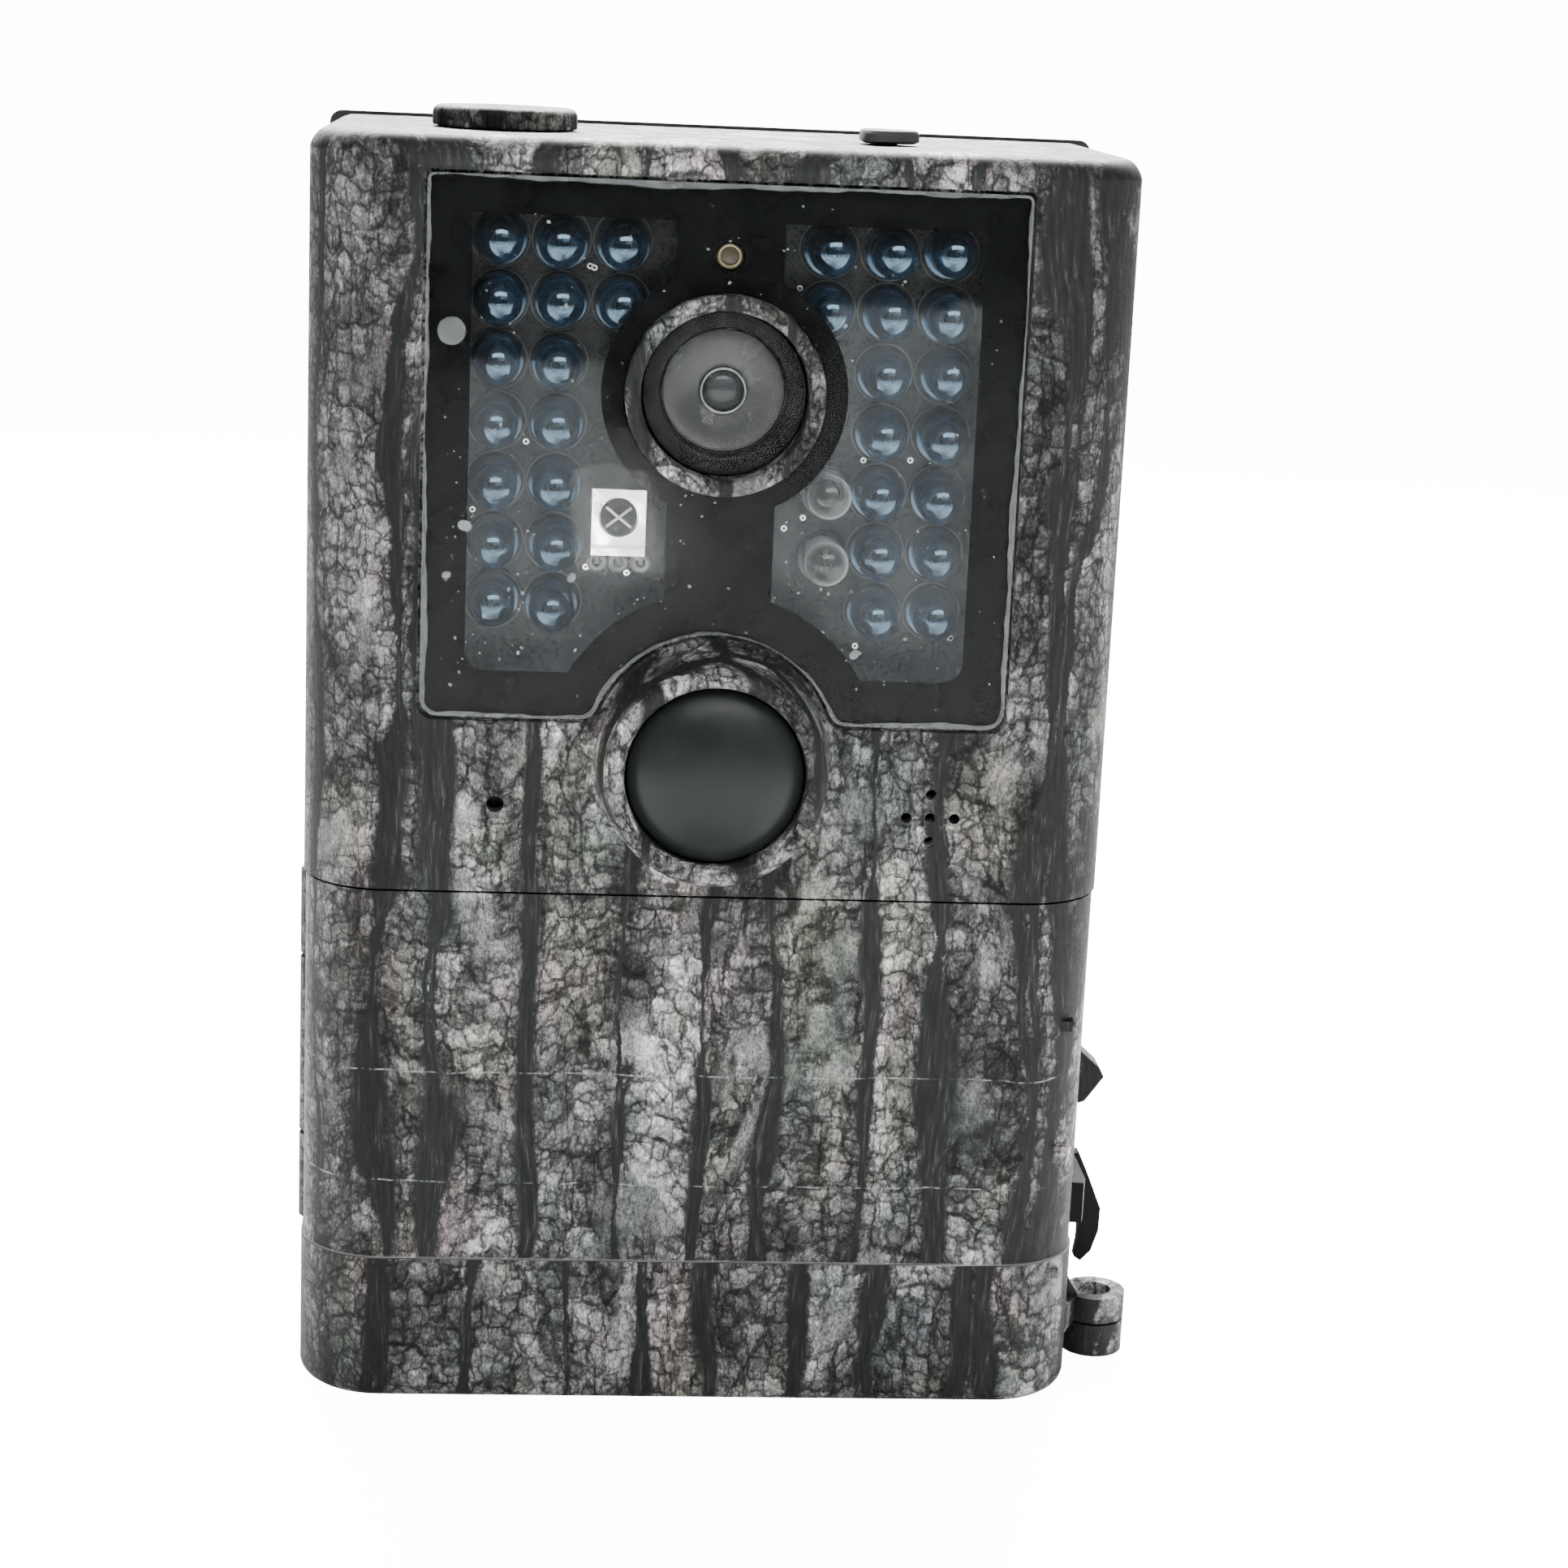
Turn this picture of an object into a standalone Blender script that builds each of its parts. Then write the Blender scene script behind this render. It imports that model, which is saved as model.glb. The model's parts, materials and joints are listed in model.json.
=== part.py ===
"""Compact trail camera: a hollow housing with a side-hinged lower door, a sliding battery tray and its inner pieces.

Sizes are in millimetres until place() turns them into metres. X runs across the face, Y is the depth behind
the front face and Z is the height above the base. The row origin is the centre of the body's base.
"""

import math

import bmesh
import bpy
from mathutils import Vector

# --- driving dimensions, mm -------------------------------------------------------------------------------
BODY_WIDTH = 90.0
BODY_HEIGHT = 142.5
BODY_DEPTH = 67.0
FRONT_DEPTH = 46.0
CORNER_RADIUS = 9.5
WALL = 2.4
DOOR_HEIGHT = 60.3
DOOR_DEPTH = 15.85
BULKHEAD_FRONT = 16.15
BULKHEAD_BACK = 18.4
FLOOR_OF_UPPER = 60.6
CREASE_HEIGHT = 17.2
CREASE_STEP = 0.25

WINDOW_HALF_WIDTH = 32.2
WINDOW_TOP = 138.6
WINDOW_BOTTOM = 80.1
WINDOW_CORNER = 2.0
WINDOW_RECESS = 1.9
PIR_Z = 76.2
PIR_CUT_RADIUS = 13.7
COLLAR_BASE_RADIUS = 12.9
COLLAR_FRONT_RADIUS = 12.0
COLLAR_BORE_RADIUS = 9.8
COLLAR_PROTRUSION = 10.0

LENS_Z = 116.1
BEZEL_OUTER_RADIUS = 10.8
BEZEL_INNER_RADIUS = 9.05
LED_PITCH = 6.63
LED_TOP_Z = 131.4
LED_RADIUS = 2.5
LED_COLUMNS = (-24.5, -17.87, -11.24)
LED_ROWS = (3, 3, 2, 2, 2, 2, 2)
BOARD_DEPTH = 10.0

HINGE_X = -43.6
HINGE_Y = 16.0
KNUCKLE_RADIUS = 2.2
SCOOP_RADIUS = 2.65
PIN_RADIUS = 1.0
PIN_BORE_RADIUS = 1.08
KNUCKLE_LEVELS = (16.3, 26.8, 48.3, 58.6)

EAR_X = 49.4
EAR_Y = 15.0
EAR_RADIUS = 3.7
EAR_HOLE_RADIUS = 2.0
LATCH_X = 44.5
LATCH_Y = 19.5
LATCH_BARREL_RADIUS = 1.5

CELL_RADIUS = 7.25
CELL_LENGTH = 50.5
CELL_PITCH = 14.7
CELL_Y = 55.9

BUTTON_CENTRE = (24.0, 38.0)
BUTTON_PITCH = 8.2
BUTTON_RADIUS = 2.3
CARD_CENTRE = (6.0, 13.4)
SWITCH_CENTRE = (-22.0, 13.4)
SOCKET_CENTRE = (30.0, 13.4)

CAP_X, CAP_Y = -24.4, 20.0
PLUG_X, PLUG_Y = 17.6, 17.0
TRIPOD_Y = 25.0
JACK_X, JACK_Y = 29.0, 30.0

GAP = 0.3
ROUND = 24

MATERIALS = {
    "camouflage": ((0.12, 0.115, 0.11), 0.75, 0.0),
    "dark_plastic": ((0.03, 0.03, 0.032), 0.55, 0.0),
    "mask_black": ((0.012, 0.012, 0.013), 0.4, 0.0),
    "window_clear": ((0.75, 0.8, 0.85), 0.08, 0.0),
    "led_blue": ((0.35, 0.5, 0.7), 0.15, 0.0),
    "board": ((0.02, 0.05, 0.035), 0.45, 0.0),
    "steel": ((0.6, 0.6, 0.6), 0.35, 1.0),
    "brass": ((0.6, 0.45, 0.2), 0.35, 1.0),
    "rubber": ((0.03, 0.03, 0.03), 0.85, 0.0),
    "fresnel": ((0.05, 0.05, 0.055), 0.3, 0.0),
    "panel_grey": ((0.09, 0.095, 0.1), 0.6, 0.0),
    "screen_dark": ((0.02, 0.025, 0.03), 0.12, 0.0),
    "cell_sleeve": ((0.1, 0.25, 0.3), 0.4, 0.0),
    "key_grey": ((0.3, 0.31, 0.32), 0.6, 0.0),
}


def material(name):
    """Returns the Principled material of that name, made on first use."""
    found = bpy.data.materials.get(name)
    if found:
        return found
    colour, roughness, metallic = MATERIALS[name]
    made = bpy.data.materials.new(name)
    made.use_nodes = True
    shader = made.node_tree.nodes["Principled BSDF"]
    shader.inputs["Base Color"].default_value = (*colour, 1.0)
    shader.inputs["Roughness"].default_value = roughness
    shader.inputs["Metallic"].default_value = metallic
    return made


def place(x, y, z):
    """Turns millimetres with Y as depth behind the face into row metres."""
    return Vector((x, y - BODY_DEPTH / 2, z)) * 0.001


def solid(name, points, faces, finish=None):
    """Makes a closed mesh object with outward faces."""
    mesh = bpy.data.meshes.new(name)
    mesh.from_pydata([place(*p) for p in points], [], faces)
    work = bmesh.new()
    work.from_mesh(mesh)
    bmesh.ops.recalc_face_normals(work, faces=work.faces)
    work.to_mesh(mesh)
    work.free()
    body = bpy.data.objects.new(name, mesh)
    bpy.context.collection.objects.link(body)
    if finish:
        part_material = material(finish).copy()
        part_material.name = name
        mesh.materials.append(part_material)
        mesh.shade_smooth()
        mesh.set_sharp_from_angle(angle=math.radians(35))
    return body


def loft(name, rings, finish=None):
    """Skins equal-length closed rings of points one after another, with flat end faces."""
    count = len(rings[0])
    points = [p for ring in rings for p in ring]
    faces = [list(range(count)), list(range((len(rings) - 1) * count, len(rings) * count))]
    for level in range(len(rings) - 1):
        low = level * count
        for i in range(count):
            j = (i + 1) % count
            faces.append([low + i, low + j, low + count + j, low + count + i])
    return solid(name, points, faces, finish)


def prism(name, outline, axis, low, high, finish=None):
    """Extrudes a closed outline. The outline's pairs are the two other axes in X, Y, Z order."""
    order = {"X": lambda a, b, t: (t, a, b), "Y": lambda a, b, t: (a, t, b), "Z": lambda a, b, t: (a, b, t)}[axis]
    return loft(name, [[order(a, b, t) for a, b in outline] for t in (low, high)], finish)


def box(name, x, y, z, finish=None):
    """A plain block from its three spans."""
    return prism(name, [(x[0], y[0]), (x[1], y[0]), (x[1], y[1]), (x[0], y[1])], "Z", z[0], z[1], finish)


def arc(centre, radius, start, stop, steps):
    """Points along an arc, angles in degrees."""
    out = []
    for i in range(steps + 1):
        angle = math.radians(start + (stop - start) * i / steps)
        out.append((centre[0] + radius * math.cos(angle), centre[1] + radius * math.sin(angle)))
    return out


def rounded(x, y, radius, steps=3):
    """A rectangle with rounded corners, from its two spans."""
    corners = ((x[0], y[0], 180), (x[1], y[0], 270), (x[1], y[1], 0), (x[0], y[1], 90))
    out = []
    for cx, cy, start in corners:
        inside = (cx + radius if cx == x[0] else cx - radius, cy + radius if cy == y[0] else cy - radius)
        out += arc(inside, radius, start, start + 90, steps)
    return out


def turned(name, profile, axis, centre, finish=None, steps=ROUND, closed=False):
    """Turns a profile of (radius, distance) pairs about an axis through centre.

    An open profile starts and ends on the axis. A closed one is a ring's section.
    """
    points, faces, loops = [], [], []
    for radius, along in profile:
        start = len(points)
        turns = 1 if radius == 0 else steps
        for i in range(turns):
            angle = 2 * math.pi * (i + 0.5) / steps
            a, b = radius * math.cos(angle), radius * math.sin(angle)
            spot = {"X": (along, a, b), "Y": (a, along, b), "Z": (a, b, along)}[axis]
            points.append(tuple(c + s for c, s in zip(centre, spot)))
        loops.append(list(range(start, start + turns)))
    pairs = list(zip(loops, loops[1:])) + ([(loops[-1], loops[0])] if closed else [])
    for one, two in pairs:
        for i in range(steps):
            j = (i + 1) % steps
            corners = [one[i % len(one)], one[j % len(one)], two[j % len(two)], two[i % len(two)]]
            faces.append(list(dict.fromkeys(corners)))
    return solid(name, points, faces, finish)


def rod(name, radius, axis, centre, low, high, finish=None, steps=ROUND):
    """A cylinder between two distances along an axis."""
    return turned(name, [(0, low), (radius, low), (radius, high), (0, high)], axis, centre, finish, steps)


def tube(name, outer, inner, axis, centre, low, high, finish=None, steps=ROUND):
    """A round tube between two distances along an axis."""
    section = [(outer, low), (outer, high), (inner, high), (inner, low)]
    return turned(name, section, axis, centre, finish, steps, closed=True)


def joined(name, pieces):
    """Joins separate cutter pieces into one mesh object."""
    work = bmesh.new()
    for piece in pieces:
        work.from_mesh(piece.data)
    mesh = bpy.data.meshes.new(name)
    work.to_mesh(mesh)
    work.free()
    for piece in pieces:
        bpy.data.objects.remove(piece)
    body = bpy.data.objects.new(name, mesh)
    bpy.context.collection.objects.link(body)
    return body


def combine(target, tool, operation):
    """Adds a hidden tool body to a target as an exact Boolean modifier."""
    tool.hide_render = True
    tool.display_type = "WIRE"
    step = target.modifiers.new(tool.name, "BOOLEAN")
    step.operation = operation
    step.solver = "EXACT"
    step.object = tool


def cut(target, tool):
    """Takes the tool's volume out of the target."""
    combine(target, tool, "DIFFERENCE")


def add(target, tool):
    """Adds the tool's volume to the target."""
    combine(target, tool, "UNION")


def origin_at(body, x, y, z):
    """Moves an object's origin to a point without moving its shape."""
    spot = place(x, y, z)
    for vertex in body.data.vertices:
        vertex.co -= spot
    body.location = spot


def plan(inset, y_low, y_high, front_radius, rear_radius, half_width):
    """The housing's outline seen from above, drawn in by inset on its front and sides."""
    w = half_width - inset
    y0 = y_low + (inset if front_radius > 2 else 0)
    y1 = y_high - (inset if rear_radius > 2 else 0)
    fr, rr = max(front_radius - inset, 0.6), max(rear_radius - inset, 0.6)
    out = arc((-w + fr, y0 + fr), fr, 180, 270, 7)
    out += arc((w - fr, y0 + fr), fr, 270, 360, 7)
    out += arc((w - rr, y1 - rr), rr, 0, 90, 7)
    out += arc((-w + rr, y1 - rr), rr, 90, 180, 7)
    return out


def shell_block(name, levels, y_low, y_high, front_radius, rear_radius, half_width, finish):
    """A block lofted through plan outlines at (height, inset) levels."""
    rings = []
    for height, inset in levels:
        outline = plan(inset, y_low, y_high, front_radius, rear_radius, half_width)
        rings.append([(x, y, height) for x, y in outline])
    return loft(name, rings, finish)


def window_outline(inset):
    """The window's outline on the face: a rectangle whose lower edge arches over the sensor collar."""
    w, top, bottom = WINDOW_HALF_WIDTH - inset, WINDOW_TOP - inset, WINDOW_BOTTOM + inset
    corner, arch, ease = WINDOW_CORNER, PIR_CUT_RADIUS + inset, 2.0
    ease_z = bottom + ease
    ease_x = math.sqrt((arch + ease) ** 2 - (ease_z - PIR_Z) ** 2)
    tilt = math.degrees(math.atan2(ease_z - PIR_Z, ease_x))
    out = arc((w - corner, bottom + corner), corner, 270, 360, 3)
    out += [(w, top), (-w, top)]
    out += arc((-w + corner, bottom + corner), corner, 180, 270, 3)
    out += arc((-ease_x, ease_z), ease, 270, 360 - tilt, 3)
    out += arc((0, PIR_Z), arch, 180 - tilt, tilt, 16)[1:-1]
    out += arc((ease_x, ease_z), ease, 180 + tilt, 270, 3)
    return out


def clear_zone(side):
    """One of the two clear areas left in the window's black print."""
    half_bar, edge, bottom, top = 5.85, 27.3, 85.2, 134.4
    ring, arch = 13.3, 18.4
    low_angle = math.degrees(math.asin((bottom - PIR_Z) / arch))
    high_angle = math.degrees(math.acos(half_bar / arch))
    ring_angle = math.degrees(math.acos(half_bar / ring))
    out = [(edge, top), (half_bar, top)]
    out += arc((0, LENS_Z), ring, ring_angle, -ring_angle, 12)
    out += arc((0, PIR_Z), arch, high_angle, low_angle, 6)
    out += arc((edge - 2.2, bottom + 2.2), 2.2, 270, 360, 4)
    return [(side * x, z) for x, z in out]


def led_shape(name, x, z, back, finish=None):
    """A five-millimetre lamp whose dome points out of the face."""
    tip, shoulder = 2.3, 4.8
    profile = [(0, tip), (LED_RADIUS * 0.75, tip + 0.8), (LED_RADIUS, shoulder), (LED_RADIUS, back), (0, back)]
    return turned(name, profile, "Y", (x, 0, z), finish, steps=8)


def ear(name, root_low, root_high, z_low, z_high):
    """A padlock ear: a round eye joined by a web to the side wall."""
    tilt_front = 225 if root_low < 12 else 215
    outline = [(44.2, root_high), (44.2, root_low)]
    outline += arc((EAR_X, EAR_Y), EAR_RADIUS, tilt_front, tilt_front + 260, 12)
    return prism(name, outline, "Z", z_low, z_high)


def hole_row(spots, radius, y_low, y_high, steps=12):
    """Round cutters through the face at several (x, z) spots, as one tool."""
    pieces = [rod(f"hole_{i}", radius, "Y", (x, 0, z), y_low, y_high, steps=steps) for i, (x, z) in enumerate(spots)]
    return joined("hole_tool", pieces)


def screw(name, x, z, y_head, finish="steel"):
    """A pan-head screw seen from the back, with a short shank towards the front."""
    profile = [(0, y_head - 3.6), (1.1, y_head - 3.6), (1.1, y_head - 1.5), (2.4, y_head - 1.5)]
    profile += [(2.4, y_head - 0.5), (1.7, y_head), (0, y_head)]
    body = turned(name, profile, "Y", (x, 0, z), finish, steps=16)
    cross = [box("a", (x - 1.3, x + 1.3), (y_head - 0.7, y_head + 1), (z - 0.25, z + 0.25))]
    cut(body, joined(name + "_slot", cross))
    return body


def make_front_housing():
    """The main housing: upper face, side walls, bulkhead behind the door, collar, knuckles and lower ear."""
    top = BODY_HEIGHT
    levels = [(0, 1.4), (0.5, 0.5), (1.5, 0), (top - 2.2, 0), (top - 1.4, 0.3), (top - 0.6, 0.9), (top, 2.2)]
    body = shell_block("front_housing", levels, 0, FRONT_DEPTH, CORNER_RADIUS, 0.8, BODY_WIDTH / 2, "camouflage")
    cut(body, box("door_bay", (-60, 60), (-1, BULKHEAD_FRONT), (-1, FLOOR_OF_UPPER)))
    upper = rounded((-42.4, 42.4), (WALL, FRONT_DEPTH + 2), 5.0)
    cut(body, prism("upper_room", upper, "Z", 63.2, top - 2.6))
    lower = rounded((-39.6, 41.4), (BULKHEAD_BACK, FRONT_DEPTH + 3), 1.5)
    cut(body, prism("lower_room", lower, "Z", 2.4, 64.0))
    profile = [(0, -COLLAR_PROTRUSION), (COLLAR_FRONT_RADIUS - 0.5, -COLLAR_PROTRUSION)]
    profile += [(COLLAR_FRONT_RADIUS, -COLLAR_PROTRUSION + 0.5), (COLLAR_BASE_RADIUS, -0.6)]
    profile += [(COLLAR_BASE_RADIUS + 0.5, 0), (COLLAR_BASE_RADIUS + 0.5, 2.2), (0, 2.2)]
    cut(body, prism("window_seat", window_outline(-0.25), "Y", -1, WINDOW_RECESS))
    add(body, turned("collar", profile, "Y", (0, 0, PIR_Z), steps=40))
    cut(body, prism("window_way", window_outline(2.4), "Y", 1.5, 3.4))
    cut(body, rod("collar_bore", COLLAR_BORE_RADIUS, "Y", (0, 0, PIR_Z), -12, 3.5, steps=36))
    sound = [(24.5, 70.1), (27.2, 70.1), (21.8, 70.1), (24.5, 72.8), (24.5, 67.4)]
    cut(body, hole_row(sound, 0.6, -1, 3.3))
    cut(body, rod("voice_hole", 0.95, "Y", (-23.6, 0, 70.5), -1, 3.3, steps=12))
    cut(body, prism("panel_way", rounded((-37.5, 37.5), (6.5, 56.5), 1.5), "Y", 15, 19.5))
    cut(body, rod("cap_seat", 6.0, "Z", (CAP_X, CAP_Y, 0), top - 1.3, top + 1))
    cut(body, rod("plug_hole", 1.65, "Z", (PLUG_X, PLUG_Y, 0), top - 4, top + 1, steps=12))
    spans = [(-1, KNUCKLE_LEVELS[0]), (KNUCKLE_LEVELS[1], KNUCKLE_LEVELS[2]), (KNUCKLE_LEVELS[3], FLOOR_OF_UPPER)]
    scoops = [rod("s", SCOOP_RADIUS, "Z", (HINGE_X, HINGE_Y, 0), a, b) for a, b in spans]
    cut(body, joined("hinge_scoops", scoops))
    pairs = [(KNUCKLE_LEVELS[0], KNUCKLE_LEVELS[1] - GAP / 2), (KNUCKLE_LEVELS[2] + GAP / 2, KNUCKLE_LEVELS[3])]
    knuckles = [rod("k", KNUCKLE_RADIUS, "Z", (HINGE_X, HINGE_Y, 0), a, b) for a, b in pairs]
    add(body, joined("hinge_knuckles", knuckles))
    cut(body, rod("pin_bore", PIN_BORE_RADIUS, "Z", (HINGE_X, HINGE_Y, 0), 15.4, 59.6))
    add(body, ear("lower_ear", 16.9, 23.0, 1.2, 5.1))
    cut(body, rod("lower_eye", EAR_HOLE_RADIUS, "Z", (EAR_X, EAR_Y, 0), 0, 6.5))
    cut(body, rod("latch_pocket", 1.95, "Z", (LATCH_X, LATCH_Y, 0), 10.4, 25.0))
    cut(body, box("latch_clear", (44.0, 47.0), (17.3, 21.9), (10.4, 25.0)))
    cut(body, rod("latch_bore", 0.78, "Z", (LATCH_X, LATCH_Y, 0), 8.0, 27.4, steps=16))
    cut(body, rod("tripod_way", 5.3, "Z", (0, TRIPOD_Y, 0), -1, 3.5))
    cut(body, box("release_way", (-5.3, 5.3), (36.2, 41.8), (-1, 3.5)))
    cut(body, rod("jack_way", 3.3, "Z", (JACK_X, JACK_Y, 0), -1, 3.5))
    return body


def make_lower_door():
    """The door over the controls: a shallow shell with the middle knuckle, pull wedge and upper ear."""
    step = CREASE_STEP
    levels = [(0, 1.4), (0.5, 0.5), (1.5, 0), (CREASE_HEIGHT, 0), (CREASE_HEIGHT + 0.25, step), (DOOR_HEIGHT, step)]
    body = shell_block("lower_door", levels, 0, DOOR_DEPTH, CORNER_RADIUS, 0.8, BODY_WIDTH / 2, "camouflage")
    inside = arc((-40.2 + 4, WALL + 4), 4, 180, 270, 4) + arc((42.4 - 6, WALL + 6), 6, 270, 360, 5)
    inside += [(42.4, 17), (-40.2, 17)]
    cut(body, prism("door_room", inside, "Z", 2.4, DOOR_HEIGHT - 2.4))
    spans = [(-1, KNUCKLE_LEVELS[1]), (KNUCKLE_LEVELS[2], DOOR_HEIGHT + 1)]
    scoops = [rod("s", SCOOP_RADIUS, "Z", (HINGE_X, HINGE_Y, 0), a, b) for a, b in spans]
    cut(body, joined("door_scoops", scoops))
    low, high = KNUCKLE_LEVELS[1] + GAP / 2, KNUCKLE_LEVELS[2] - GAP / 2
    add(body, rod("door_knuckle", KNUCKLE_RADIUS, "Z", (HINGE_X, HINGE_Y, 0), low, high))
    cut(body, rod("door_pin_bore", PIN_BORE_RADIUS, "Z", (HINGE_X, HINGE_Y, 0), 20, 55))
    add(body, ear("upper_ear", 7.0, 14.5, 5.4, 8.5))
    web = [(44.3, 13.2), (44.3, 8.0), (47.4, 8.0)]
    add(body, prism("ear_gusset", web, "Y", 12.6, 14.6))
    cut(body, rod("upper_eye", EAR_HOLE_RADIUS, "Z", (EAR_X, EAR_Y, 0), 4.5, 9.5))
    wedge = [(44.2, 40.6), (44.2, 33.0), (46.0, 33.6), (48.1, 36.6), (47.6, 37.6)]
    add(body, prism("pull_wedge", wedge, "Y", 11.0, 15.4))
    cut(body, box("claw_groove", (44.0, 46.0), (8.3, 17.0), (18.4, 24.6)))
    origin_at(body, HINGE_X, HINGE_Y, 0)
    seal = prism("door_seal", rounded((-39.9, 42.1), (2.7, 57.6), 2.0), "Y", 13.9, 15.5, "rubber")
    cut(seal, prism("seal_way", rounded((-38.7, 40.9), (3.9, 56.4), 1.2), "Y", 13, 16.5))
    origin_at(seal, HINGE_X, HINGE_Y, 0)


def make_rear_housing():
    """The back half with its tray well, the dark gasket between the halves, bracket and screws."""
    low, high = FRONT_DEPTH + 0.9, BODY_DEPTH
    levels = [(0, 1.6), (0.6, 0.6), (1.6, 0), (BODY_HEIGHT - 3.4, 0), (BODY_HEIGHT - 2.0, 0.5), (BODY_HEIGHT - 0.9, 2)]
    body = shell_block("rear_housing", levels, low, high, 0.8, 8.0, BODY_WIDTH / 2 - 0.3, "camouflage")
    room = [(-42.3, low - 1), (42.3, low - 1)] + arc((36.3, high - 8.4), 6, 0, 90, 5) + arc((-36.3, high - 8.4), 6, 90, 180, 5)
    cut(body, prism("rear_room", room, "Z", 2.4, BODY_HEIGHT - 3.4))
    cut(body, box("tray_way", (-31.6, 31.6), (low - 2, 64.62), (-1, 3.5)))
    corners = [(-36, 12), (36, 12), (-36, 130), (36, 130)]
    cut(body, hole_row(corners, 2.75, high - 2.0, high + 1, steps=16))
    cut(body, hole_row(corners, 1.4, high - 4, high, steps=12))
    mid = [(-13, 48), (13, 48), (-13, 96), (13, 96)]
    cut(body, hole_row(mid, 1.4, high - 4, high + 1, steps=12))
    for i, (x, z) in enumerate(corners):
        screw(f"case_screw_{i + 1}", x, z, high - 0.2)
    outline = [(-23, high + GAP), (23, high + GAP), (23, high + 5.4), (19.5, high + 5.4), (19.5, high + 2.4)]
    outline += [(-19.5, high + 2.4), (-19.5, high + 5.4), (-23, high + 5.4)]
    bracket = prism("rear_bracket", outline, "Z", 40, 104, "dark_plastic")
    cut(bracket, box("strap_way", (-26, 26), (high + 2.6, high + 4.4), (60, 86)))
    cut(bracket, hole_row(mid, 1.4, high - 1, high + 3, steps=12))
    for i, (x, z) in enumerate(mid):
        screw(f"bracket_screw_{i + 1}", x, z, high + 4.3)
    rim = prism("rim_gasket", rounded((-45.35, 45.35), (0.1, BODY_HEIGHT + 0.4), 1.4), "Y", 46.15, 46.75, "rubber")
    cut(rim, prism("rim_way", rounded((-42.7, 42.7), (2.6, BODY_HEIGHT - 3.6), 1.4), "Y", 45, 48))


def make_window():
    """The clear window and the black print behind it."""
    eye = (0, 0, LENS_Z)
    panel = prism("window_panel", window_outline(0.05), "Y", 0.35, 1.25, "window_clear")
    cut(panel, rod("panel_eye", BEZEL_OUTER_RADIUS + 0.15, "Y", eye, -1, 3, steps=40))
    mask = prism("window_mask", window_outline(0.15), "Y", 1.4, 1.65, "mask_black")
    cut(mask, rod("mask_eye", BEZEL_OUTER_RADIUS + 0.15, "Y", eye, -1, 3, steps=40))
    cut(mask, prism("left_zone", clear_zone(-1), "Y", 0, 3))
    cut(mask, prism("right_zone", clear_zone(1), "Y", 0, 3))
    cut(mask, rod("sensor_spot", 1.65, "Y", (0, 0, 130.8), 0, 3, steps=16))


def make_lens():
    """The lens stack on the upper face, front to back."""
    eye = (0, 0, LENS_Z)
    tube("lens_bezel", BEZEL_OUTER_RADIUS, BEZEL_INNER_RADIUS, "Y", eye, -0.9, 9.6, "camouflage", steps=40)
    rod("lens_cover", 8.75, "Y", eye, 1.5, 2.3, "window_clear", steps=36)
    tube("lens_holder", 8.75, 6.55, "Y", eye, 2.6, 13.0, "dark_plastic", steps=28)
    profile = [(0, 8.4), (2.55, 8.4), (2.55, 5.6), (3.4, 5.0), (6.2, 5.0), (6.2, 21.5), (0, 21.5)]
    turned("lens_barrel", profile, "Y", eye, "dark_plastic", steps=24)
    dome = [(0, 5.5), (1.3, 5.7), (2.25, 6.3), (2.25, 7.6), (0, 7.6)]
    turned("lens_element", dome, "Y", eye, "window_clear", steps=20)
    box("sensor_board", (-9, 9), (21.9, 23.4), (LENS_Z - 9, LENS_Z + 9), "board")


def make_lamps():
    """The lamp board with its infrared lamps, and the parts beside them."""
    board = box("led_board", (-31, 31), (BOARD_DEPTH, BOARD_DEPTH + 1.6), (83, 136.8), "led_blue")
    lamps = []
    for side in (-1, 1):
        for row, count in enumerate(LED_ROWS):
            for column in range(count):
                x = LED_COLUMNS[column] if side < 0 else -LED_COLUMNS[column]
                lamps.append(led_shape("lamp", x, LED_TOP_Z - row * LED_PITCH, BOARD_DEPTH + 0.5))
    add(board, joined("lamp_field", lamps))
    cut(board, rod("board_eye", 11.2, "Y", (0, 0, LENS_Z), 8, 13, steps=32))
    cut(board, rod("board_arch", 8.0, "Y", (0, 0, PIR_Z), 8, 13, steps=32))
    back = BOARD_DEPTH - GAP
    led_shape("indicator_led_upper", 12.05, 104.9, back, "window_clear")
    led_shape("indicator_led_lower", 12.05, 97.5, back, "window_clear")
    box("ir_receiver", (-13.9, -7.9), (5.0, back), (97.6, 105.0), "steel")
    rod("light_sensor", 1.5, "Y", (0, 0, 130.8), 2.2, back, "brass", steps=16)


def make_sound_and_motion():
    """The motion sensor behind its dome lens, the microphone and the speaker."""
    outer = [(0, -10.9), (3.4, -10.6), (6.4, -9.8), (8.4, -8.9), (9.5, -8.1)]
    inner = [(9.5, -2.0), (8.9, -2.0), (8.7, -7.9), (6.1, -9.1), (3.2, -9.9), (0, -10.2)]
    turned("pir_lens", outer + inner, "Y", (0, 0, PIR_Z), "fresnel", steps=32)
    can = [(0, 0.6), (4.1, 0.6), (4.1, 3.8), (4.6, 3.8), (4.6, 4.6), (0, 4.6)]
    turned("pir_sensor", can, "Y", (0, 0, PIR_Z), "steel", steps=24)
    rod("microphone", 3.0, "Y", (-23.6, 0, 70.5), 2.8, 5.6, "steel", steps=20)
    rod("speaker", 6.3, "Y", (24.5, 0, 70.1), 2.8, 7.2, "dark_plastic", steps=24)


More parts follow.
